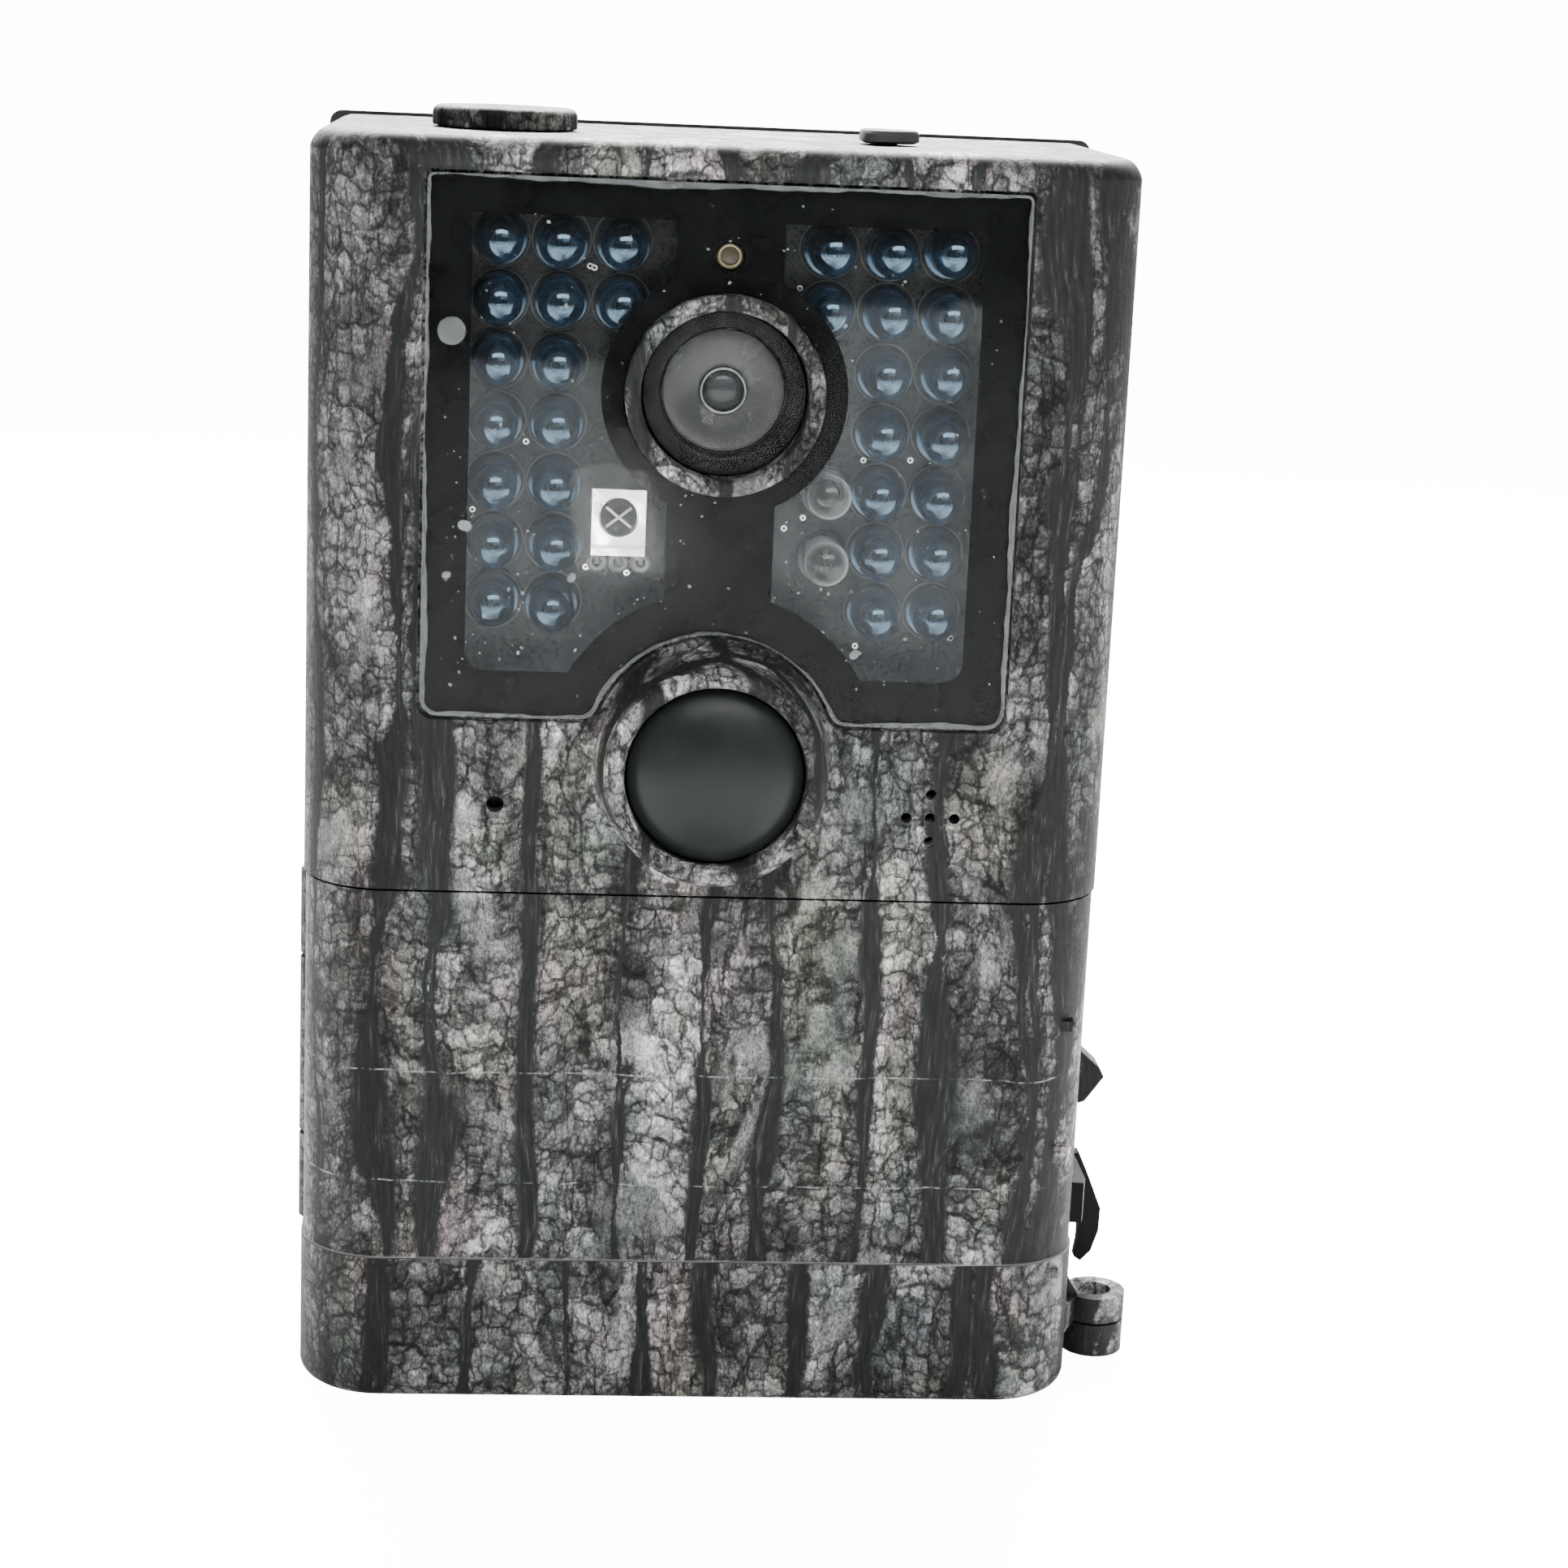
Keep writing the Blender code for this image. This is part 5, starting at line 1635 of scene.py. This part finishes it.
    def indicators(self, pair: Sequence[tuple[float, float, float]]) -> None:
        """The two clear indicator lamps: the upper one's cup glints, the lower one shows its chip.

        Args:
            pair: the upper and the lower lamp's centre.
        """
        dome = self.dome([(2.5, 8.6), (2.85, 8.65), (2.9, 9.1), (2.85, 9.6), (0.0, 9.6)])
        nodes = ("indicator_led_upper", "indicator_led_lower")
        self.bench.turned("indicator_domes", dome, pair, "clear_epoxy", "window_clear", *nodes)
        turns = np.linspace(0, 2.6 * np.pi, 60)
        reach = 0.5 + 1.45 * turns / turns[-1]
        x, _, v = pair[0]
        across, rise = reach * np.cos(turns), reach * np.sin(turns)
        swirl = np.stack([x + across, 7.4 - 0.5 * np.sin(turns), v + rise], -1)
        wire = smooth(tube("indicator_swirl", swirl[None], 0.2, 8))
        self.bench.hand_in(wire, "camera", "bright_solder", "steel")
        cup = [(0.0, 7.0), (0.55, 7.0), (1.0, 6.0), (1.12, 6.0), (1.15, 7.6), (0.0, 7.6)]
        self.bench.turned("indicator_cup", cup, pair[0], "bright_solder", "steel", steps=28, angle=40)
        stack = merged("indicator_frame", [block("part", *spans) for spans in (
            ((11.55, 12.55), (5.9, 7.6), (97.0, 98.0)), ((11.75, 12.35), (6.2, 8.6), (95.9, 96.9)),
            ((11.8, 12.3), (6.2, 8.6), (98.1, 98.9)), ((11.95, 12.15), (5.8, 6.2), (96.2, 98.7)),
        )])
        self.bench.hand_in(ease_edges(stack, 0.12), "camera", "bright_solder", "steel")


@dataclass
class MotionSensor:
    """The dark dome lens in the collar: the outer face is part of a sphere, the inner one is a shallow dish."""

    bench: Bench
    radius: float = 9.3
    rise: float = 2.7
    sweep: float = 1.20

    def build(self) -> None:
        """Makes, finishes and hands in the dome."""
        turn = np.linspace(0, 1, 13) * self.sweep
        lift = self.rise * (1 - np.cos(turn)) / (1 - math.cos(self.sweep))
        outer = np.stack([self.radius * np.sin(turn) / math.sin(self.sweep), -10.9 + lift], -1)
        inner = [(9.5, -7.9), (9.5, -2.0), (8.9, -2.0), (8.7, -7.7), (6.1, -9.0), (3.2, -9.8), (0, -10.1)]
        profile = np.vstack([outer, inner])
        self.bench.turned("motion_dome", profile, SENSOR_EYE, "dome_plastic", "fresnel", "pir_lens", steps=96,
                          angle=32)


# ------------------------------------------------------------------------------------------------ moving parts


@dataclass
class Latch:
    """The side latch: pivot barrel, claw arm and a thumb paddle."""

    bench: Bench

    def build(self) -> None:
        """Makes, finishes and hands in the lever."""
        paddle = np.array([(45.0, 24.0), (47.2, 24.4), (48.4, 21.8), (50.25, 17.3), (50.2, 14.4), (49.4, 11.8),
                           (48.2, 10.5), (47.4, 11.0), (47.7, 13.0), (47.7, 16.4), (47.1, 18.2), (45.0, 18.6)])
        arm = np.array([(45.35, 19.6), (44.9, 18.9), (45.35, 11.2), (44.5, 11.2), (44.5, 9.6), (46.3, 9.4),
                        (46.7, 11.0), (46.7, 18.9)])
        body = carve(rod("latch_arm", 1.5, Axis.Z, LATCH, 10.8, 24.6, 40), [
            (Carve.ADD, extrude("paddle", paddle, Axis.Y, 18.7, 20.5)),
            (Carve.ADD, extrude("claw", arm, Axis.Z, 19.0, 24.0)),
            (Carve.CUT, rod("lever_bore", 0.76, Axis.Z, LATCH, 9, 26, 16)),
        ])
        self.bench.hand_in(ease_edges(body, 0.25), "latch_lever", "black_plastic", "dark_plastic", "latch_lever")


@dataclass
class TopAndBase:
    """The blanking cap and lobed plug on top; the tripod insert, power stopper and tray button below."""

    bench: Bench

    def cap(self) -> None:
        """The round blanking cap with a nicked rim and a coin slot."""
        x, y, _ = CAP
        profile = np.vstack([
            [(0, 141.5), (5.6, 141.5), (5.6, 142.7), (7.9, 142.7)], arc((7.6, 143.0), 0.4, -45, 0, 3),
            arc((7.1, 144.0), 0.9, 0, 90, 7), [(6.2, 144.9), (5.9, 144.72), (0, 144.72)],
        ])
        body = lathe("blank_cap", profile, Axis.Z, CAP, 72)
        turn = np.radians(np.arange(0, 360, 15))
        spots = np.stack([x + 8.15 * np.cos(turn), y + 8.15 * np.sin(turn), 0 * turn], -1)
        carve(body, [
            (Carve.CUT, rod("nicks", 0.35, Axis.Z, spots, 142, 146, 12)),
            (Carve.CUT, block("coin_slot", (x - 5, x + 5), (y - 0.5, y + 0.5), (144.2, 146))),
        ])
        self.bench.hand_in(smooth(body, 35), "antenna_cap", "cap_film", "camouflage", "antenna_cap")

    def plug(self) -> None:
        """The three-lobed rubber plug: its radius is a constant plus a cosine of three times the angle."""
        x, y, _ = PLUG
        turn = np.linspace(0, 2 * np.pi, 72, endpoint=False)
        reach = 3.25 + 0.45 * np.cos(3 * turn)
        levels = ((142.7, 0.85), (142.95, 1.0), (143.8, 1.0), (144.1, 0.94), (144.2, 0.84))
        rings = [place_axes(np.full(72, v), x + s * reach * np.cos(turn), y + s * reach * np.sin(turn), Axis.Z)
                 for v, s in levels]
        plug = carve(loft("lobed_plug", np.stack(rings)),
                     [(Carve.ADD, rod("stem", 1.3, Axis.Z, PLUG, 139.1, 143.3, 24))])
        self.bench.hand_in(smooth(plug, 35), "top_plug", "plug_rubber", "rubber", "top_plug")

    def build(self) -> None:
        """Makes, finishes and hands in the small fittings."""
        self.cap()
        self.plug()
        turns = np.arange(0, 34)
        bore = np.stack([3.2 + 0.35 * (turns % 2), 0.45 + 0.25 * turns], -1)
        insert = np.vstack([[(5.0, 9.0), (5.0, 0.4), (4.8, 0.2), (3.6, 0.2)], bore, [(3.4, 9.0)]])
        self.bench.turned("tripod_thread", insert, TRIPOD, "bare_brass", "brass", "tripod_insert", axis=Axis.Z,
                          steps=48, angle=30, closed=True)
        stopper = [(0, 0.3), (1.0, 0.3), (1.1, 0.7), (2.2, 0.7), (2.3, 0.35), (2.75, 0.35), (2.9, 0.6),
                   (2.9, 2.0), (2.7, 2.2), (2.9, 2.4), (2.9, 3.4), (2.7, 3.6), (2.9, 3.8), (2.9, 5.6),
                   (2.6, 6.0), (0, 6.0)]
        self.bench.turned("power_stopper", stopper, JACK, "soft_rubber", "rubber", "dc_plug", body="dc_plug",
                          axis=Axis.Z, angle=35)
        lines = [block("line", (x, x + 0.6), (37.2, 40.8), (0, 0.75)) for x in (-3.9, -2.3, -0.7, 0.9, 2.5)]
        key = carve(block("tray_button", (-5, 5), (36.5, 41.5), (0.4, 3.2)), [
            (Carve.ADD, block("foot", (-6.4, 6.4), (35.4, 42.6), (2.7, 4.0))),
            (Carve.CUT, merged("lines", lines)),
        ])
        self.bench.hand_in(ease_edges(key, 0.2), "tray_release", "black_plastic", "dark_plastic", "tray_release")


@dataclass
class BatteryTray:
    """The tray that slides out of the base, with its four sleeved cells."""

    bench: Bench
    pitch: float = 14.7
    radius: float = 7.25
    top: float = 53.5

    def build(self) -> None:
        """Makes, finishes and hands in the tray and cells."""
        own, z = "battery_tray", Axis.Z
        grip = [block("line", (-12, 12), (49.5 + 2.2 * k, 50.5 + 2.2 * k), (-1, 0.8)) for k in range(6)]
        body = carve(block("cell_tray", (-31.2, 31.2), (47.8, 64.25), (0.3, 57.5)), [
            (Carve.CUT, block("tray_room", (-29.8, 29.8), (46, 63.4), (2.6, 55.6))),
            (Carve.CUT, merged("grip", grip)),
        ])
        self.bench.hand_in(ease_edges(body, 0.25), own, "black_plastic", "dark_plastic", own)
        r, top = self.radius, self.top
        sleeve = [(6.9, 3.05), (7.1, 3.05), (r, 3.3), (r, top - 2.0), (7.1, top - 1.75), (6.9, top - 1.7)]
        spots = [((i - 1.5) * self.pitch, 55.9, 0) for i in range(4)]
        nodes = [f"battery_cell_{i}" for i in (1, 2, 3, 4)]
        self.bench.turned("cell_sleeves", sleeve, spots, "cell_sleeve", "cell_sleeve", *nodes, body=own, axis=z,
                          steps=48, angle=35, closed=True)
        can = [(0, 3.0), (5.6, 3.0), (5.9, 3.15), (6.85, 3.15), (6.85, top - 1.6), (6.4, top - 1.3),
               (3.4, top - 1.3), (3.0, top - 1.5), (2.6, top - 1.3), (2.6, top - 0.2), (2.4, top), (0, top)]
        self.bench.turned("cell_cans", can, spots, "satin_steel", "steel", body=own, axis=z, angle=35)


@dataclass
class Controls:
    """Behind the door: the panel with its screen, five keys, mode switch, card and socket."""

    bench: Bench
    keys: tuple[float, float] = (24.0, 38.0)
    pitch: float = 8.2

    def key_spots(self) -> dict[str, tuple[float, float]]:
        """Each key's centre on the panel.

        Returns:
            The key's name to its (x, z).
        """
        (x, z), step = self.keys, self.pitch
        ways = {"up": (0, 1), "down": (0, -1), "left": (-1, 0), "right": (1, 0), "ok": (0, 0)}
        return {name: (x + dx * step, z + dz * step) for name, (dx, dz) in ways.items()}

    def panel(self) -> None:
        """The panel with its openings, a stepped screen frame and small raised marks beside the controls."""
        cut, y = Carve.CUT, Axis.Y
        spots = [(x, 0, v) for x, v in self.key_spots().values()]
        body = carve(extrude("key_panel", rounded((-37.2, 37.2), (6.8, 56.2), 1.2), y, 16.6, 18.2), [
            (cut, extrude("screen_way", rounded((-30, 8), (23.5, 52.0), 0.6, 4), y, 15, 20)),
            (cut, extrude("screen_step", rounded((-31.4, 9.4), (22.1, 53.4), 1.4, 6), y, 15, 16.95)),
            (cut, rod("key_ways", 2.6, y, spots, 15, 20, 40)),
            (cut, extrude("key_dish", rounded((11.5, 36.5), (25.5, 50.5), 4.0, 8), y, 15, 16.75)),
            (cut, block("switch_way", (-27.7, -16.3), (15, 20), (11.5, 15.3))),
            (cut, block("card_way", (-6.5, 18.5), (15, 20), (11.9, 14.9))),
            (cut, block("socket_way", (25.7, 34.3), (15, 20), (11.2, 15.6))),
        ])
        self.bench.hand_in(ease_edges(body, 0.15), "camera", "panel_grey", "panel_grey", "control_panel")
        ticks = [block("tick", (x - 0.15, x + 0.15), (16.5, 16.62), (16.3, 17.5))
                 for x in (-25.6, -22.0, -18.4)]
        ticks += [block("rule", x, (16.52, 16.62), (v, v + 0.2))
                  for x, v in (((-27.7, 19.6), 9.2), ((25.0, 35.0), 17.3), ((-7.0, 19.0), 17.3))]
        self.bench.hand_in(merged("panel_marks", ticks), "camera", "mark_white", "key_grey")

    def key(self, name: str, x: float, v: float) -> None:
        """One key with the mark on its cap: an arrowhead, or a dot on the middle one.

        Args:
            name: which key.
            x: its place across.
            v: its height.
        """
        spin = {"up": 90, "down": 270, "left": 180, "right": 0}
        profile = [(0, 15.72), (1.2, 15.68), (1.7, 15.6), (1.95, 15.6), (2.2, 15.72), (2.3, 16.0),
                   (2.3, 18.6), (3.2, 18.6), (3.2, 19.4), (1.2, 19.4), (1.2, 20.9), (0, 20.9)]
        body = f"button_{name}"
        self.bench.turned(f"key_{name}", profile, (x, 0, v), "key_grey", "key_grey", body, body=body, angle=35)
        if name in spin:
            turn = np.radians(spin[name] + np.array([0, 125, 235]))
            mark = np.stack([x + 0.95 * np.cos(turn), v + 0.95 * np.sin(turn)], -1)
        else:
            mark = arc((x, v), 0.75, 0, 345, 23)
        face = extrude(f"key_mark_{name}", mark, Axis.Y, 15.62, 15.8)
        self.bench.hand_in(face, body, "lens_black", "key_grey")

    def screen(self) -> None:
        """The screen's glass, its metal back and the black border on it."""
        glass = extrude("screen_glass", rounded((-32.8, 10.3), (21.7, 53.8), 0.8, 6), Axis.Y, 18.5, 19.4)
        back = block("screen_back", (-33, 10.5), (19.4, 21.4), (21.5, 54.0))
        self.bench.hand_in(ease_edges(glass, 0.15), "camera", "screen_dark", "screen_dark", "screen")
        self.bench.hand_in(ease_edges(back, 0.2), "camera", "satin_steel", "steel")
        outer = rounded((-30.8, 8.8), (22.7, 52.8), 0.8, 6)
        inner = rounded((-28.2, 6.2), (25.3, 50.2), 0.5, 6)
        border = band("screen_frame", outer, inner, Axis.Y, 18.42, 18.5)
        self.bench.hand_in(border, "camera", "lens_black", "screen_dark")

    def build(self) -> None:
        """Makes, finishes and hands in the controls."""
        self.panel()
        for name, (x, v) in self.key_spots().items():
            self.key(name, x, v)
        self.screen()
        ribs = [block("rib", (x - 0.15, x + 0.15), (15.0, 15.7), (11.5, 15.3))
                for x in (-23.0, -22.35, -21.65, -21.0)]
        knob = carve(block("mode_knob", (-23.6, -20.4), (15.3, 19.0), (11.9, 14.9)), [
            (Carve.ADD, block("foot", (-28.2, -15.8), (18.55, 19.8), (10.4, 16.4))),
            (Carve.CUT, merged("ribs", ribs)),
        ])
        self.bench.hand_in(ease_edges(knob, 0.12), "mode_switch", "key_grey", "key_grey", "mode_switch")
        outline = np.array([(-6, 15.2), (18, 15.2), (18, 44.6), (15.6, 47.0), (-6, 47.0)])
        grip = [block("line", (2.0, 10.0), (15.8 + 0.7 * k, 16.1 + 0.7 * k), (14.2, 15)) for k in range(4)]
        card = extrude("store_card", outline, Axis.Z, 12.35, 14.45)
        carve(card, [(Carve.CUT, merged("grips", grip))])
        self.bench.hand_in(ease_edges(card, 0.2), "memory_card", "black_plastic", "dark_plastic", "memory_card")


# ------------------------------------------------------------------------------------------------ the studio


@dataclass
class Studio:
    """A pale floor curving up behind the object, soft lights, a dark flag, a small lit card and the view."""

    lens: float = 73.33
    spot: tuple[float, float, float] = (-0.0195, -0.3748, 0.1559)
    turn: float = 4.62
    tip: float = 13.51
    roll: float = 2.53
    bounce: float = 0.3
    reach: float = 3500.0

    def card(self, name: str, rows: Array, paper: bpy.types.Material, *unseen: str) -> Piece:
        """A stage sheet through a grid of points.

        Args:
            name: its name.
            rows: (n, k, 3) points in millimetres.
            paper: its material.
            unseen: the kinds of ray that pass it by.

        Returns:
            The sheet.
        """
        rows = np.asarray(rows, dtype=float) + (0, HALF_DEPTH, 0)
        made = make_piece(name, rows, grid_faces(*rows.shape[:2], wrap_columns=False), weld=False)
        made.data.materials.append(paper)
        for kind in unseen:
            setattr(made, f"visible_{kind}", False)
        return made

    def paper(self, name: str, glow: float) -> bpy.types.Material:
        """Pale paper with a faint fleck and a soft light through it.

        Args:
            name: the material's name.
            glow: strength of the light.

        Returns:
            The material.
        """
        g = Graph(name)
        fleck = g.noise(g.scaled(30, 30, 30), 2.0).outputs["Fac"]
        tone = g.ramp(fleck, [(0.3, (0.74, 0.74, 0.74)), (0.7, (0.76, 0.76, 0.76))])
        return g.principled(tone, 0.9, Emission_Strength=glow, Emission_Color=(1.0, 1.0, 1.0, 1.0))

    def sweep(self) -> None:
        """The lit floor and backdrop that is seen, and a plain pale floor just under it that bounces light."""
        bend = arc((900, 500), 500, 270, 360, 16)
        lit = np.vstack([[(-self.reach, 0.0)], [(-400, 0.0)], bend, [(1400, 2600)]])
        floor = np.array([(-self.reach, -1.0), (0.0, -1.0), (self.reach, -1.0)])
        across = np.linspace(-self.reach, self.reach, 9)
        for name, line, paper, unseen in (
            ("pale_sweep", lit, self.paper("lit_paper", 14.0), ("diffuse", "glossy", "shadow")),
            ("pale_floor", floor, self.paper("floor_paper", self.bounce), ("camera",)),
        ):
            rows = place_axes(across[:, None], line[None, :, 0], line[None, :, 1], Axis.X)
            self.card(name, rows, paper, *unseen).data.shade_smooth()

    def flag(self) -> None:
        """A dark card standing well in front, which the glossy window mirrors as its darker upper part."""
        line = np.array([(-1600, -1100), (-60, -1100), (10, -930), (60, -960), (110, -1200), (170, -1560),
                         (400, -1600), (1600, -1750)])
        rows = place_axes(np.array([-5.0, 1500.0])[:, None], line[None, :, 0], line[None, :, 1], Axis.Z)
        paper = Graph("dark_card").principled((0.02, 0.02, 0.02, 1.0), 0.9)
        self.card("dark_flag", rows, paper, "camera", "diffuse", "shadow")

    def glint(self) -> None:
        """A small lit card lying in front, which the receiver's can mirrors back as a white glint."""
        rows = [[(x, -580, 1.5), (x, -790, 1.5)] for x in (-9.0, 16.0)]
        self.card("glint_card", rows, self.paper("glint_paper", 22.0), "camera", "diffuse", "shadow")

    def lamp(self, name: str, size: Span, power: float, at: Sequence[float], to: Sequence[float]) -> None:
        """A soft rectangular lamp.

        Args:
            name: its name.
            size: width and height.
            power: watts.
            at: where it hangs.
            to: the point it faces.
        """
        data = bpy.data.lights.new(name, "AREA")
        data.shape = "RECTANGLE"
        data.size, data.size_y = size
        data.energy = power
        lamp = bpy.data.objects.new(name, data)
        lamp.location = at
        lamp.rotation_euler = (Vector(to) - Vector(at)).to_track_quat("-Z", "Y").to_euler()
        lamp.visible_camera = False
        bpy.context.scene.collection.objects.link(lamp)

    def view(self) -> None:
        """Stands the view where the object is seen from a little to the left and above."""
        a, b, c = (math.radians(v) for v in (self.turn, self.tip, self.roll))
        turn = np.array([(math.cos(a), -math.sin(a), 0), (math.sin(a), math.cos(a), 0), (0, 0, 1)])
        tip = np.array([(1, 0, 0), (0, math.cos(b), -math.sin(b)), (0, math.sin(b), math.cos(b))])
        roll = np.array([(math.cos(c), 0, math.sin(c)), (0, 1, 0), (-math.sin(c), 0, math.cos(c))])
        right, ahead, up = roll @ tip @ turn
        data = bpy.data.cameras.new("view")
        data.lens, data.sensor_width, data.sensor_height = self.lens, 36.0, 36.0
        data.clip_start, data.clip_end = 0.01, 50.0
        eye = bpy.data.objects.new("view", data)
        frame = np.eye(4)
        frame[:3] = np.stack([right, up, -ahead, self.spot], -1)
        eye.matrix_world = Matrix(frame.tolist())
        bpy.context.scene.collection.objects.link(eye)
        bpy.context.scene.camera = eye

    def build(self) -> None:
        """Sets up the floor, lights, sky and view."""
        self.sweep()
        self.flag()
        self.glint()
        self.lamp("high_back", (0.6, 0.3), 55.0, (0.0, 0.42, 0.55), (0, 0, 0.13))
        self.lamp("front_fill", (1.4, 0.9), 4.5, (0.3, -1.3, 0.95), (0, 0, 0.07))
        self.lamp("key", (1.1, 0.38), 9.5, (0.12, -0.75, 0.85), (0, 0, 0.08))
        world = bpy.data.worlds.new("soft_sky")
        bpy.context.scene.world = world
        world.use_nodes = True
        back = world.node_tree.nodes["Background"]
        back.inputs["Color"].default_value = (1.0, 1.0, 1.0, 1.0)
        back.inputs["Strength"].default_value = 0.3
        self.view()


def main() -> None:
    """Builds the whole trail camera round its frame and sets up the studio."""
    logging.basicConfig(level=logging.INFO, format="%(name)s: %(message)s", stream=sys.stdout)
    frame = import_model()
    bench = Bench(frame)
    parts = (FrontHousing, LowerDoor, RearHousing, Window, Lens, LampField, MotionSensor, Latch, TopAndBase,
             BatteryTray, Controls)
    for part in parts:
        LOG.info("building %s", part.__name__)
        part(bench).build()
    bench.dress_the_rest({"microphone": "lens_black", "speaker": "lens_black"})
    Studio().build()


if __name__ == "__main__":
    main()
